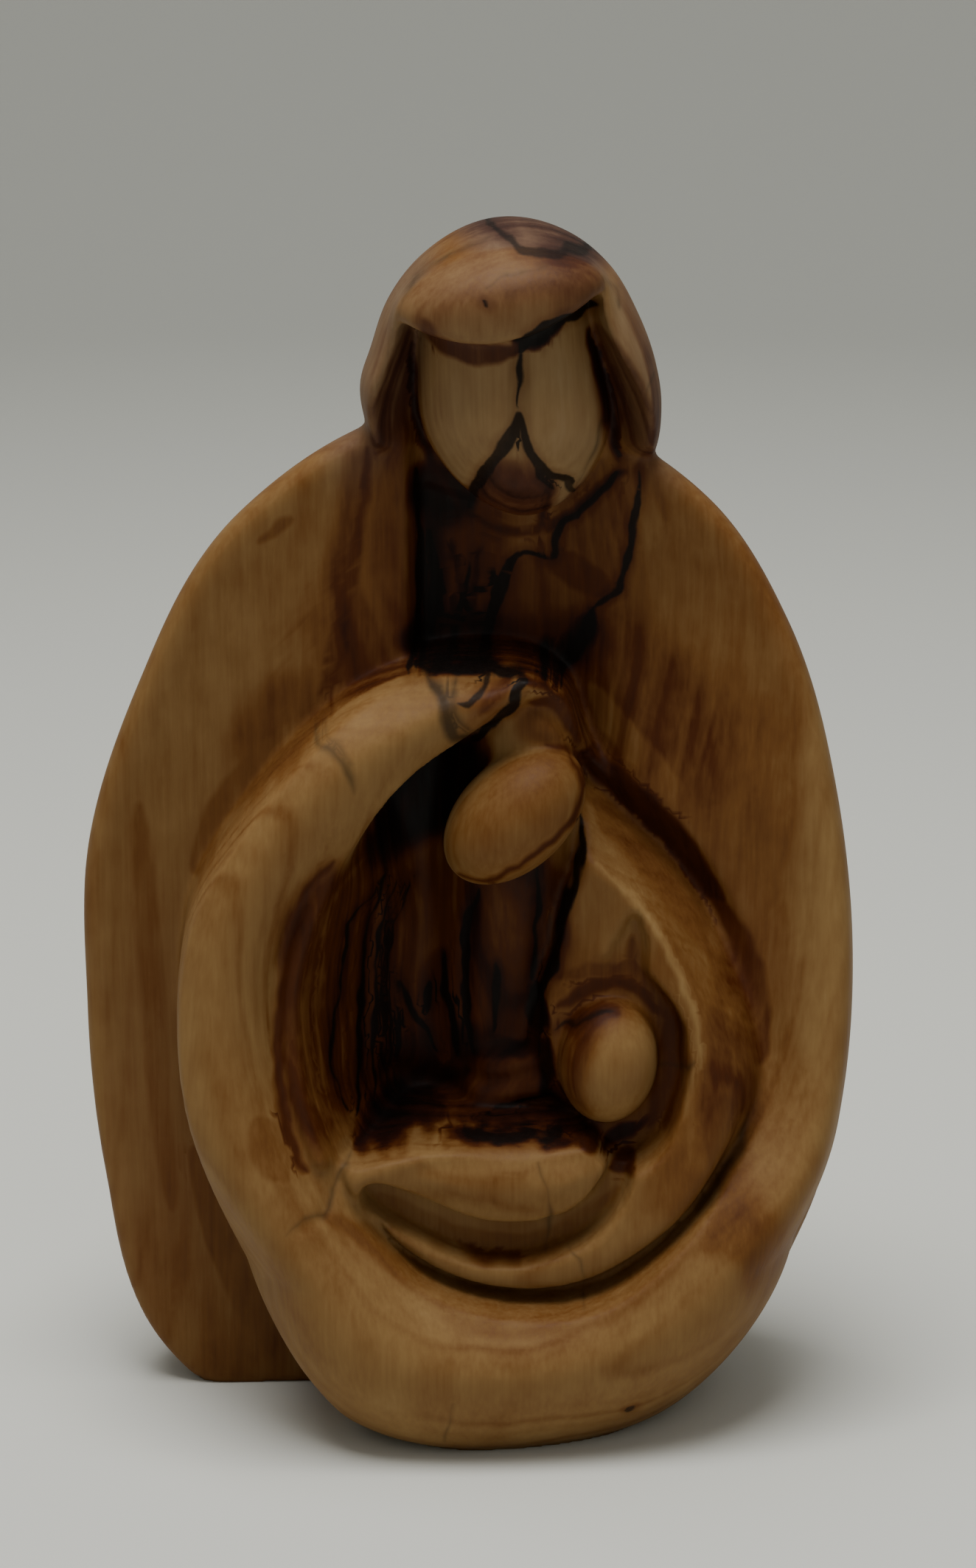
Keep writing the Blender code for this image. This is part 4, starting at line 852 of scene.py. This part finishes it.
# Stains and patches of painted shade laid over one another, in order: middle, half width and half height,
# lean, how dark (0 is pale sapwood, 1 is black heartwood), and the least and most that the surface stands
# proud.
STAINS_AND_SHADE = (
    ((-27.0, 50.0), (10.0, 42.0), -6, 0.33, -3, 7.0, 0.35),     # cloak, left, beside the loop
    ((-36.0, 50.0), (5.0, 30.0), 0, 0.31, -3, 7.0, 0.35),       # its rim
    ((-22.0, 84.0), (8.0, 14.0), 35, 0.31, -3, 7.0, 0.35),
    ((-18.0, 70.0), (4.5, 6.0), 40, 0.46, -3, 7.0, 0.35),
    ((-9.0, 86.0), (5.0, 14.0), 8, 0.53, -3, 7.0, 0.35),        # left lapel
    ((-9.5, 78.0), (4.0, 5.0), 0, 0.56, -3, 7.0, 0.35),
    ((28.0, 62.0), (12.0, 30.0), 0, 0.41, -3, 14.0, 0.35),      # cloak, right
    ((17.0, 73.0), (9.0, 11.0), -30, 0.56, -3, 7.0, 0.5),
    ((24.0, 84.0), (7.0, 12.0), -35, 0.39, -3, 7.0, 0.35),
    ((36.0, 55.0), (3.5, 30.0), 0, 0.27, -3, 14.0, 0.35),
    ((-0.5, 85.0), (5.0, 12.0), 0, 0.56, -6, 3.0, 0.25),        # chest
    ((-3.8, 84.0), (1.2, 11.5), 4, 0.80, -6, 4.0, 0.5),
    ((6.6, 81.5), (3.8, 5.2), 0, 0.57, -6, 3.0, 0.2),
    ((-1.5, 78.8), (5.5, 1.9), 0, 0.86, -6, 9.0, 0.3),          # the ledge over the veil
    ((7.0, 78.8), (5.0, 1.9), 0, 0.70, -6, 9.0, 0.4),
    ((12.0, 88.0), (4.2, 8.0), 8, 0.52, -6, 4.0, 0.2),
    ((11.0, 78.0), (2.6, 3.4), 15, 0.70, -6, 3.0, 0.35),
    ((7.0, 120.0), (10.5, 4.0), 8, 0.56, -3, 30, 0.35),         # crown of the hood
    ((1.0, 116.2), (7.0, 2.6), -14, 0.36, 4, 30, 0.35),          # hood, over the brow
    ((4.0, 112.4), (10.0, 3.0), -9, 0.48, 11.5, 30, 0.35),      # brow
    ((9.5, 114.6), (3.6, 2.0), -12, 0.50, 9, 30, 0.35),
    ((4.5, 101.0), (10.5, 12.0), 0, 0.24, 4.5, 30, 0.35),       # blank face
    ((4.3, 93.6), (3.8, 4.4), 0, 0.62, 2.5, 14, 0.25),          # its chin
    ((-7.2, 103.0), (2.0, 7.5), 6, 0.58, -4, 6.5, 0.35),         # inside of the hood
    ((15.4, 103.0), (2.8, 8.5), -10, 0.62, -4, 6.5, 0.35),
    # black under the chin's left: painted shade in the pocket there, over dark heartwood
    ((-2.8, 92.6), (2.6, 3.2), -35, 0.92, -6, 4, 0.4),
    # painted black shadow under the brow's right end, where it overhangs the face
    ((6.6, 110.6), (2.4, 1.5), -20, 1.00, 6, 13.0, 0.2),
    ((-3.0, 46.0), (17.0, 17.0), 0, 0.58, -3, 9.5, 0.2),        # deep in the hollow
    ((-13.8, 45.0), (5.0, 13.5), 0, 0.61, 5, 18.5, 0.2),
    ((4.6, 50.0), (5.5, 8.5), 4, 0.66, 2, 12, 0.25),            # robe
    ((-3.0, 43.0), (3.0, 7.5), 0, 0.56, 0, 8, 0.5),
    ((-1.6, 36.0), (6.0, 3.4), -12, 0.84, -1, 9, 0.4),
    ((-3.4, 63.2), (8.2, 3.9), -44, 1.00, -3, 8.0, 0.25),        # black gap beside the veiled head
    # the dark ledge over the child's body: partly dark heartwood, partly painted shade
    ((-8.4, 31.9), (3.0, 1.1), -18, 0.90, -1, 12.5, 0.6),
    ((-4.8, 33.2), (3.4, 1.0), -24, 0.90, -1, 8.0, 0.5),
    ((4.6, 34.0), (5.2, 3.0), -10, 0.60, 3, 10.0, 0.3),         # hands
    ((7.6, 39.5), (1.4, 5.0), 0, 0.84, 1, 10.8, 0.4),
    ((13.5, 39.5), (9.0, 11.5), 0, 0.46, 7.5, 12.2, 0.25),      # halo
    ((10.4, 32.4), (2.4, 3.2), -30, 0.76, 5, 12.0, 0.35),
    ((13.8, 38.9), (5.4, 6.8), 6, 0.58, 12.0, 30, 0.35),        # child's head
    ((15.4, 38.0), (4.1, 5.8), 18, 0.31, 12.0, 30, 0.3),
    ((20.5, 56.0), (4.5, 10.0), -38, 0.38, 1, 14, 0.35),        # arm
    ((12.8, 55.0), (3.6, 7.0), -18, 0.36, 7, 14, 0.35),
    ((26.0, 38.0), (3.2, 12.0), 4, 0.54, 5, 18, 0.35),
    ((25.0, 24.0), (4.2, 9.0), -38, 0.46, 4, 19, 0.6),         # lower right of the loop
    ((-18.0, 4.0), (9.0, 8.0), 0, 0.44, -4, 9, 0.35),
    ((4.2, 63.2), (6.5, 9.5), 46, 0.38, 11.0, 30, 0.35),        # veiled head
    ((7.3, 71.7), (3.0, 2.0), 30, 0.46, 6, 11.0, 0.35),
)
GREY_STAINS = (
    ((8.0, 120.2), (11.5, 4.4), 10, 0.66, -30, 9.5, 0.3),       # crown of the hood
    ((-8.5, 108.0), (4.5, 13.0), 14, 0.42, -30, 9.0, 0.35),
    ((17.5, 106.0), (4.0, 11.0), -10, 0.35, -30, 12.0, 0.35),
    ((4.0, 113.6), (12.0, 5.6), -9, 0.22, 9, 30, 0.35),         # brow
    ((4.5, 101.0), (10.0, 11.0), 0, 0.22, 4.5, 30, 0.35),
    ((9.2, 94.6), (2.8, 2.4), 0, 0.25, 2, 14, 0.35),
)
RED_STAINS = (
    ((2.0, 84.0), (7.0, 12.0), 0, 0.40, -6, 2.0, 0.45),         # chest
    ((4.2, 93.8), (3.4, 3.6), 0, 0.70, 2.5, 14, 0.45),
    ((0.0, 37.0), (8.0, 7.0), 0, 0.80, -1, 9, 0.45),
    ((4.2, 33.0), (5.5, 3.0), -10, 0.90, 3, 10, 0.45),
    ((1.6, 74.0), (1.6, 3.0), 35, 0.55, 7, 14, 0.45),
    ((-32.0, 30.0), (5.0, 22.0), 0, 0.35, -4, 7, 0.45),
    ((12.0, 35.0), (6.0, 7.0), 0, 0.45, 5, 12, 0.45),
    ((24.0, 54.0), (4.0, 12.0), -38, 0.25, 1, 9, 0.45),
)

WANDERING = ((0.94, 0.33, 1.0), (-0.63, 0.71, 2.1), (0.31, -1.13, 3.7), (1.57, 0.52, 5.3))

# How rings, stains and lines sway off their drawn places: how far, the wavelength, and a turn of its own.
RING_SWAY = ((0.45, 21.0, 1.1), (0.12, 6.0, 2.3))
STAIN_SWAY = (((0.5, 11.0, 0.4), (0.22, 4.0, 1.3)), ((0.7, 12.0, 2.2), (0.28, 4.6, 0.7)))     # in x, in z
LINE_SWAY = (((0.24, 3.2, 0.9),), ((0.24, 3.6, 1.9),))


def wander(x, z, wavelength, turn):
    """A smooth number between about -1 and 1 that wanders over the front view: four sines at odd angles."""
    k = 2 * np.pi / wavelength
    return sum(np.sin(k * (a * x + b * z) + c * turn) for a, b, c in WANDERING) / len(WANDERING)


def swayed(value, x, z, waves):
    return value + sum(size * wander(x, z, wavelength, turn) for size, wavelength, turn in waves)


def stained_and_shaded(tone, x, proud, z, stains):
    """A tone with ovals laid over it, stains and patches of painted shade, each soft over a share of its
    own size.
    """
    for (mx, mz), (half_x, half_z), lean, dark, least, most, edge in stains:
        across, along = leaned(x - mx, z - mz, lean)
        cover = ease((1 + edge - np.hypot(across / half_x, along / half_z)) / (2 * edge))
        cover = cover * ease(proud - least + 0.5) * ease(most - proud + 0.5)
        tone = tone + (dark - tone) * cover
    return tone


def nearest_line(x, z, lines):
    """The nearest of some lines: the way to it in the front view, its half width there, its tone; how far.

    The half width follows the root of a sine from end to end, so that each line tapers at both ends.
    """
    outside = np.full(x.shape, 1e9)
    way = np.zeros((len(x), 4))
    far = np.full(x.shape, NO_LINE)
    for half, tone, *points in lines:
        for dx, dz, share in ways_to_line(x, z, points):
            swell = np.sqrt(np.sin(np.pi * share).clip(0, 1))
            width = half * (LINE_TAPER + (1 - LINE_TAPER) * swell)
            distance = np.hypot(dx, dz)
            closer = distance - width < outside
            outside = np.where(closer, distance - width, outside)
            way[closer] = np.stack([dx, dz, width, np.full(x.shape, tone)], axis=1)[closer]
            far = np.where(closer, distance, far)
    return way, far


def wood_figure(x, y, z):
    """What the wood shows at points of the surface: stain, veins, rings, tints and painted light and shade,
    as named arrays.
    """
    proud = -y
    front = ease((proud - MARKS_FROM) / MARKS_FULL)
    rings = np.hypot(RING_SQUASH * (x - PITH[0]) + PITH_BOW * (z - PITH_HEIGHT) ** 2, y - PITH[1])
    rings = swayed(rings, x, z, RING_SWAY)
    late_wood = np.sin(LATE_WOOD_TURN * rings).clip(0, 1) ** 5 * (0.6 + 0.4 * np.sin(0.07 * z + 0.13 * x))
    back_tone = BACK_TONE + 0.07 * np.sin(0.9 * rings + 0.03 * z) * np.sin(0.05 * z + 0.11 * x)
    back_tone = back_tone + LATE_WOOD_BACK * late_wood
    u, w = swayed(x, x, z, STAIN_SWAY[0]), swayed(z, x, z, STAIN_SWAY[1])
    # the front darkens with depth: partly heartwood, partly painted shade in the recesses
    tone = FRONT_TONE + HEARTWOOD_AND_SHADE_PER_DEPTH * np.maximum(SAPWOOD_AND_SHADE_DEPTH - proud, 0) + LATE_WOOD_UNDER * late_wood
    # the stains, and patches of painted shade under the brow, beside the chin and over the child's body
    tone = stained_and_shaded(tone, u, proud, w, STAINS_AND_SHADE)
    groove = depth_inside(x, z, BODY_GROOVE)
    tone = tone + (GROOVE_TONE - tone) * ease(groove / 0.8 + 0.6) * ease(GROOVE_PROUD - proud)
    tone = back_tone + (tone + LATE_WOOD_OVER * late_wood - back_tone) * front
    u, w = swayed(x, x, z, LINE_SWAY[0]), swayed(z, x, z, LINE_SWAY[1])
    shown = {"stain_and_shade": tone, "ring": rings}
    for name, stains in ("grey", GREY_STAINS), ("red", RED_STAINS):
        shown[name] = stained_and_shaded(0.0 * x, x, proud, z, stains) * front
    # black veins with some painted shadows, soft veins, and brown marks with painted shade and a painted
    # highlight
    for name, lines in ("vein", BLACK_VEINS_AND_SHADOWS), ("soft", SOFT_VEINS), ("brown", BROWN_MARKS_SHADE_AND_HIGHLIGHT):
        shown[name + "_way"], far = nearest_line(u, w, lines)
        shown[name + "_far"] = far + (1 - front) * NO_LINE
    return shown


def linear_colour(code):
    """A hex colour in sRGB, turned to the linear values that Blender's sockets take."""
    value = np.array([int(code[i:i + 2], 16) for i in (1, 3, 5)]) / 255
    value = np.where(value <= 0.04045, value / 12.92, ((value + 0.055) / 1.055) ** 2.4)
    return (*value.tolist(), 1.0)


def add_node(tree, kind, settings=None, links=None):
    """A node with its properties and socket values set, and its inputs joined to other nodes' outputs."""
    node = tree.nodes.new(kind)
    for name, value in (settings or {}).items():
        if isinstance(name, str) and hasattr(node, name):
            setattr(node, name, value)
        else:
            node.inputs[name].default_value = value
    for name, output in (links or {}).items():
        tree.links.new(output, node.inputs[name])
    return node


def new_material(name):
    material = bpy.data.materials.new(name)
    material.use_nodes = True
    return material, material.node_tree.nodes["Principled BSDF"]


def olive_wood(colours):
    """Olive wood, hand sanded and oiled: close-grained, satin, pale outside and dark veined at its heart.

    The eye gets fine upright fibres about half a millimetre apart, wavering growth rings that draw
    contour lines where a hollow cuts them, black veins with a brown edge, and a soft, low shine.
    """
    material, shader = new_material("oiled_olive_wood")
    tree = material.node_tree
    place = add_node(tree, "ShaderNodeTexCoord").outputs["Object"]

    def joined(node, sockets, values):
        """A node with values in some of its sockets, each a constant or another node's output."""
        for socket, value in zip(sockets, values):
            if isinstance(value, bpy.types.NodeSocket):
                tree.links.new(value, node.inputs[socket])
            else:
                node.inputs[socket].default_value = value
        return node.outputs

    def math(operation, *values):
        return joined(add_node(tree, "ShaderNodeMath", {"operation": operation}), range(3), values)[0]

    def plus(value, factor, other):
        return math("MULTIPLY_ADD", factor, other, value)

    def grain(across, along, detail):
        """Noise about 0 drawn out along the trunk."""
        stretch = add_node(tree, "ShaderNodeMapping",
                           {"Scale": (MM / across, MM / across, MM / along)}, {"Vector": place})
        noise = add_node(tree, "ShaderNodeTexNoise", {"Scale": 1.0, "Detail": detail},
                         {"Vector": stretch.outputs[0]})
        return math("SUBTRACT", noise.outputs["Fac"], 0.5)

    def figure(name):
        return add_node(tree, "ShaderNodeAttribute", {"attribute_name": name}).outputs["Fac"]

    def ranged(value, low, high, from_value, to_value):
        """A smooth step of a number from one value to another over a range."""
        node = add_node(tree, "ShaderNodeMapRange",
                        {"interpolation_type": "SMOOTHSTEP", "From Min": low, "From Max": high,
                         "To Min": from_value, "To Max": to_value}, {"Value": value})
        return node.outputs[0]

    def mixed(share, one, other):
        """The second colour laid over the first by a share."""
        node = add_node(tree, "ShaderNodeMix", {"data_type": "RGBA"})
        return joined(node, (0, 6, 7), (share, one, other))[2]

    def marks(name, factor, ragged):
        """Distance past the nearest line's ragged edge, and the line's tone.

        The way to a line is exact beside it, but blends between two lines' ways further off.
        """
        way = add_node(tree, "ShaderNodeAttribute", {"attribute_name": name + "_way"})
        parts = add_node(tree, "ShaderNodeSeparateXYZ", links={"Vector": way.outputs["Vector"]})
        dx, dz, half = parts.outputs
        near = math("SQRT", plus(math("MULTIPLY", dz, dz), dx, dx))
        far = math("SUBTRACT", figure(name + "_far"), WAY_SHORT)
        past = math("SUBTRACT", math("MAXIMUM", near, far), half)
        return plus(past, ragged, factor), way.outputs["Alpha"]

    fibres, streaks, blotches, clouds = [grain(*row[:-1]) for row in (FIBRES, STREAKS, BLOTCHES, CLOUDS)]
    ring_place = plus(math("MULTIPLY", clouds, RING_CLOUDS), figure("ring"), 1 / RING_MM)
    rings = add_node(tree, "ShaderNodeTexNoise", {"noise_dimensions": "1D", "Scale": 1.0, "Detail": 2.0},
                     {"W": ring_place}).outputs["Fac"]
    # the tone, with its stains and painted shade
    stain_and_shade = figure("stain_and_shade")
    boldness = ranged(stain_and_shade, *PLAIN_WOOD)
    tone = plus(stain_and_shade, math("MULTIPLY", math("SUBTRACT", rings, 0.5), boldness), RING_CONTRAST)
    tone = plus(tone, math("MULTIPLY", streaks, boldness), STREAKS[-1])
    for noise, row in (fibres, FIBRES), (blotches, BLOTCHES), (clouds, CLOUDS):
        tone = plus(tone, noise, row[-1])
    ragged = plus(math("MULTIPLY", blotches, RAGGED[0]), fibres, RAGGED[1])
    # black veins, and the black painted shadows among them
    vein, vein_and_shadow_tone = marks("vein", 1.0, ragged)
    soft, soft_tone = marks("soft", SOFT_RAGGED, ragged)
    # brown marks, with painted shade in creases and a painted highlight along the arm
    brown, brown_mark_shade_and_highlight_tone = marks("brown", BROWN_RAGGED, ragged)
    tone = plus(tone, math("SUBTRACT", brown_mark_shade_and_highlight_tone, stain_and_shade), ranged(brown, *BROWN_EDGE))
    tone = math("ADD", tone, ranged(vein, *VEIN_HALO))

    ramp = add_node(tree, "ShaderNodeValToRGB", links={"Fac": tone})
    stops = ramp.color_ramp.elements
    stops.remove(stops[0])
    stops[0].position, stops[0].color = WOOD_STOPS[-1], colours.black
    shades = (colours.pale, colours.tan, colours.gold, colours.brown, colours.deep)
    for position, shade in zip(WOOD_STOPS, shades):
        stops.new(position).color = shade
    red = mixed(ranged(tone, *RED_DARKENS), colours.rust, colours.black)
    colour = mixed(math("MULTIPLY", figure("red"), RED_SHARE), ramp.outputs[0], red)
    grey = figure("grey")
    colour = add_node(tree, "ShaderNodeHueSaturation", {}, {
        "Color": colour, "Saturation": plus(1.0, grey, -GREY_SATURATION),
        "Value": plus(1.0, grey, -GREY_VALUE)}).outputs[0]
    soft_cover = math("MULTIPLY", ranged(soft, *SOFT_EDGE), soft_tone)
    # cover of the black veins and of the black painted shadows
    vein_and_shadow_cover = math("MULTIPLY", ranged(vein, *VEIN_EDGE), vein_and_shadow_tone)
    colour = mixed(vein_and_shadow_cover, mixed(soft_cover, colour, colours.soft_vein), colours.black)
    bump = add_node(tree, "ShaderNodeBump", {"Strength": BUMP_STRENGTH, "Distance": GRAIN_DEPTH_MM / MM},
                    {"Height": plus(fibres, streaks, BUMP_STREAKS)})
    joined(shader, ("Base Color", "Roughness", "Specular IOR Level", "Normal"),
           (colour, ranged(fibres, -0.25, 0.25, *ROUGHNESS), SPECULAR, bump.outputs[0]))
    return material


def colour_property(name, description, code):
    return bpy.props.FloatVectorProperty(name=name, description=description, subtype="COLOR", size=4,
                                         min=0.0, max=1.0, default=linear_colour(code))


def number_property(name, description, default, least, unit="NONE"):
    return bpy.props.FloatProperty(name=name, description=description, unit=unit, default=default,
                                   min=least)


class WoodSettings(bpy.types.PropertyGroup):
    """Size, fineness and colours of the carving."""
    height: number_property("Height", "From the sawn base to the crown of the hood",
                            CARVING_HEIGHT, 0.01, "LENGTH")
    cell: number_property("Cell", "Spacing of the grid that the carved surface is read from",
                          0.00045, 0.0002, "LENGTH")
    faces: bpy.props.IntProperty(name="Triangles", description="Triangles left after thinning",
                                 default=190000, min=1000)
    pale: colour_property("Sapwood", "The palest outer wood", "#9C8460")
    tan: colour_property("Tan", "Wood just inside the sapwood", "#86673D")
    gold: colour_property("Gold", "Golden brown wood", "#6A441D")
    brown: colour_property("Brown", "Heartwood", "#482105")
    deep: colour_property("Deep brown", "Dark heartwood", "#280C02")
    black: colour_property("Black", "Veins and the darkest heartwood", "#0A0401")
    rust: colour_property("Rust", "Reddish wood", "#5E2D14")
    soft_vein: colour_property("Soft vein", "Brown-grey veins and cracks", "#2B1D0D")


class StageSettings(bpy.types.PropertyGroup):
    """The paper cove, lights and camera."""
    paper: colour_property("Paper", "Floor and backdrop", "#D6D6CD")
    key_power: number_property("Overhead light", "Power of the soft light overhead", 5.5, 0.0, "POWER")
    fill_power: number_property("Front light", "Power of the weak light in front", 0.45, 0.0, "POWER")
    sky: number_property("Room light", "Strength of the even light from all round", 0.33, 0.0)
    distance: number_property("Camera distance", "From the lens to the middle of the picture",
                              PHOTO_DISTANCE * CARVING_HEIGHT / UNITS_HIGH, 0.05, "LENGTH")
    elevation: number_property("Camera elevation", "How far the camera looks down",
                               np.radians(PHOTO_ELEVATION), 0.0, "ROTATION")


class CARVING_OT_carve(bpy.types.Operator):
    """Carve the family from one block and give it its wood"""
    bl_idname = "carving.carve"
    bl_label = "Carve the family"

    def execute(self, context):
        settings = context.scene.holy_family_wood
        unit = settings.height / UNITS_HIGH
        points, quads, middle = carved_surface(settings.cell / unit)
        rough = bpy.data.meshes.new("rough_carving")
        rough.from_pydata((points * unit).tolist(), [], quads.tolist())
        carving = bpy.data.objects.new("carving", rough)
        context.scene.collection.objects.link(carving)
        thin = carving.modifiers.new("thin", "DECIMATE")
        thin.ratio = min(1.0, settings.faces / (2 * len(quads)))
        thin.use_collapse_triangulate = True
        mesh = bpy.data.meshes.new_from_object(carving.evaluated_get(context.evaluated_depsgraph_get()))
        carving.modifiers.clear()
        carving.data = mesh
        bpy.data.meshes.remove(rough)
        mesh.shade_smooth()
        flat = np.zeros(len(mesh.vertices) * 3, np.float32)
        mesh.vertices.foreach_get("co", flat)
        x, y, z = flat.reshape(-1, 3).astype(float).T / unit + np.array([[middle[0]], [middle[1]], [0.0]])
        for name, values in wood_figure(x, y, z).items():
            kind, place = ("FLOAT", "value") if values.ndim == 1 else ("FLOAT_COLOR", "color")
            attribute = mesh.attributes.new(name, kind, "POINT")
            attribute.data.foreach_set(place, values.astype(np.float32).ravel())
        mesh.materials.append(olive_wood(settings))
        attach(carving, "root")
        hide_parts(NODE)
        return {"FINISHED"}


class CARVING_OT_stage(bpy.types.Operator):
    """Stand the paper cove, hang the lights and set the camera"""
    bl_idname = "carving.stage"
    bl_label = "Set the stage"

    def execute(self, context):
        settings = context.scene.holy_family_stage
        cove = paper_cove(settings)
        context.scene.collection.objects.link(cove)
        world = bpy.data.worlds.new("room")
        world.use_nodes = True
        background = world.node_tree.nodes["Background"]
        background.inputs["Color"].default_value = linear_colour(ROOM_COLOUR)
        background.inputs["Strength"].default_value = settings.sky
        context.scene.world = world
        for name, power, size, place, aim in (
                ("overhead_light", settings.key_power, *OVERHEAD_LIGHT, LIGHT_AIM),
                ("front_light", settings.fill_power, *FRONT_LIGHT, LIGHT_AIM)):
            lamp = bpy.data.lights.new(name, "AREA")
            lamp.energy = power
            lamp.size = size
            light = bpy.data.objects.new(name, lamp)
            light.location = place
            light.rotation_euler = (Vector(aim) - Vector(place)).to_track_quat("-Z", "Y").to_euler()
            context.scene.collection.objects.link(light)
        unit = CARVING_HEIGHT / UNITS_HIGH
        lens = bpy.data.cameras.new("camera")
        lens.sensor_fit = "VERTICAL"
        lens.sensor_height = SENSOR_MM
        lens.lens = SENSOR_MM * PHOTO_PIXELS_A_UNIT * settings.distance / unit / PHOTO_HIGH
        lens.clip_start = 0.01
        camera = bpy.data.objects.new("camera", lens)
        back = Vector((0.0, -np.cos(settings.elevation), np.sin(settings.elevation)))
        camera.location = Vector(PHOTO_AIM) * unit + back * settings.distance
        camera.rotation_euler = (np.pi / 2 - settings.elevation, 0.0, 0.0)
        context.scene.collection.objects.link(camera)
        context.scene.camera = camera
        return {"FINISHED"}


def paper_cove(settings):
    """A round floor that curves up into a wall: a line, a quarter circle and a line, turned about z."""
    bend = np.linspace(0, np.pi / 2, 25)
    r = np.concatenate([[0.001], COVE_FLOOR + COVE_BEND * np.sin(bend), [COVE_FLOOR + COVE_BEND]])
    z = np.concatenate([[0.0], COVE_BEND * (1 - np.cos(bend)), [COVE_HIGH]])
    turn = np.linspace(0, 2 * np.pi, COVE_SIDES, endpoint=False)[:, None]
    points = np.stack([r * np.cos(turn), r * np.sin(turn), z + 0 * turn], axis=2)
    side = np.arange(COVE_SIDES)[:, None] * len(r)
    following = np.roll(side, -1, axis=0)
    row = np.arange(len(r) - 1)
    quads = np.stack([following + row, following + row + 1, side + row + 1, side + row], axis=2)
    mesh = bpy.data.meshes.new("paper_cove")
    mesh.from_pydata(points.reshape(-1, 3).tolist(), [], quads.reshape(-1, 4).tolist())
    mesh.shade_smooth()
    paper, shader = new_material("matt_paper")
    shader.inputs["Base Color"].default_value = settings.paper
    shader.inputs["Roughness"].default_value = PAPER_ROUGHNESS
    mesh.materials.append(paper)
    return bpy.data.objects.new("paper_cove", mesh)


class CARVING_PT_panel(bpy.types.Panel):
    """Sizes and colours of the carving and its stage"""
    bl_idname = "CARVING_PT_panel"
    bl_label = "Holy family carving"
    bl_space_type = "VIEW_3D"
    bl_region_type = "UI"
    bl_category = "Carving"

    def draw(self, context):
        for settings, operator in ((context.scene.holy_family_wood, "carving.carve"),
                                   (context.scene.holy_family_stage, "carving.stage")):
            box = self.layout.box()
            for name in settings.__annotations__:
                box.prop(settings, name)
            box.operator(operator)


CLASSES = (WoodSettings, StageSettings, CARVING_OT_carve, CARVING_OT_stage, CARVING_PT_panel)


def register():
    for one in CLASSES:
        bpy.utils.register_class(one)
    bpy.types.Scene.holy_family_wood = bpy.props.PointerProperty(type=WoodSettings)
    bpy.types.Scene.holy_family_stage = bpy.props.PointerProperty(type=StageSettings)


def unregister():
    del bpy.types.Scene.holy_family_stage
    del bpy.types.Scene.holy_family_wood
    for one in reversed(CLASSES):
        bpy.utils.unregister_class(one)


def main():
    register()
    bpy.ops.carving.carve()
    bpy.ops.carving.stage()


if __name__ == "__main__":
    main()
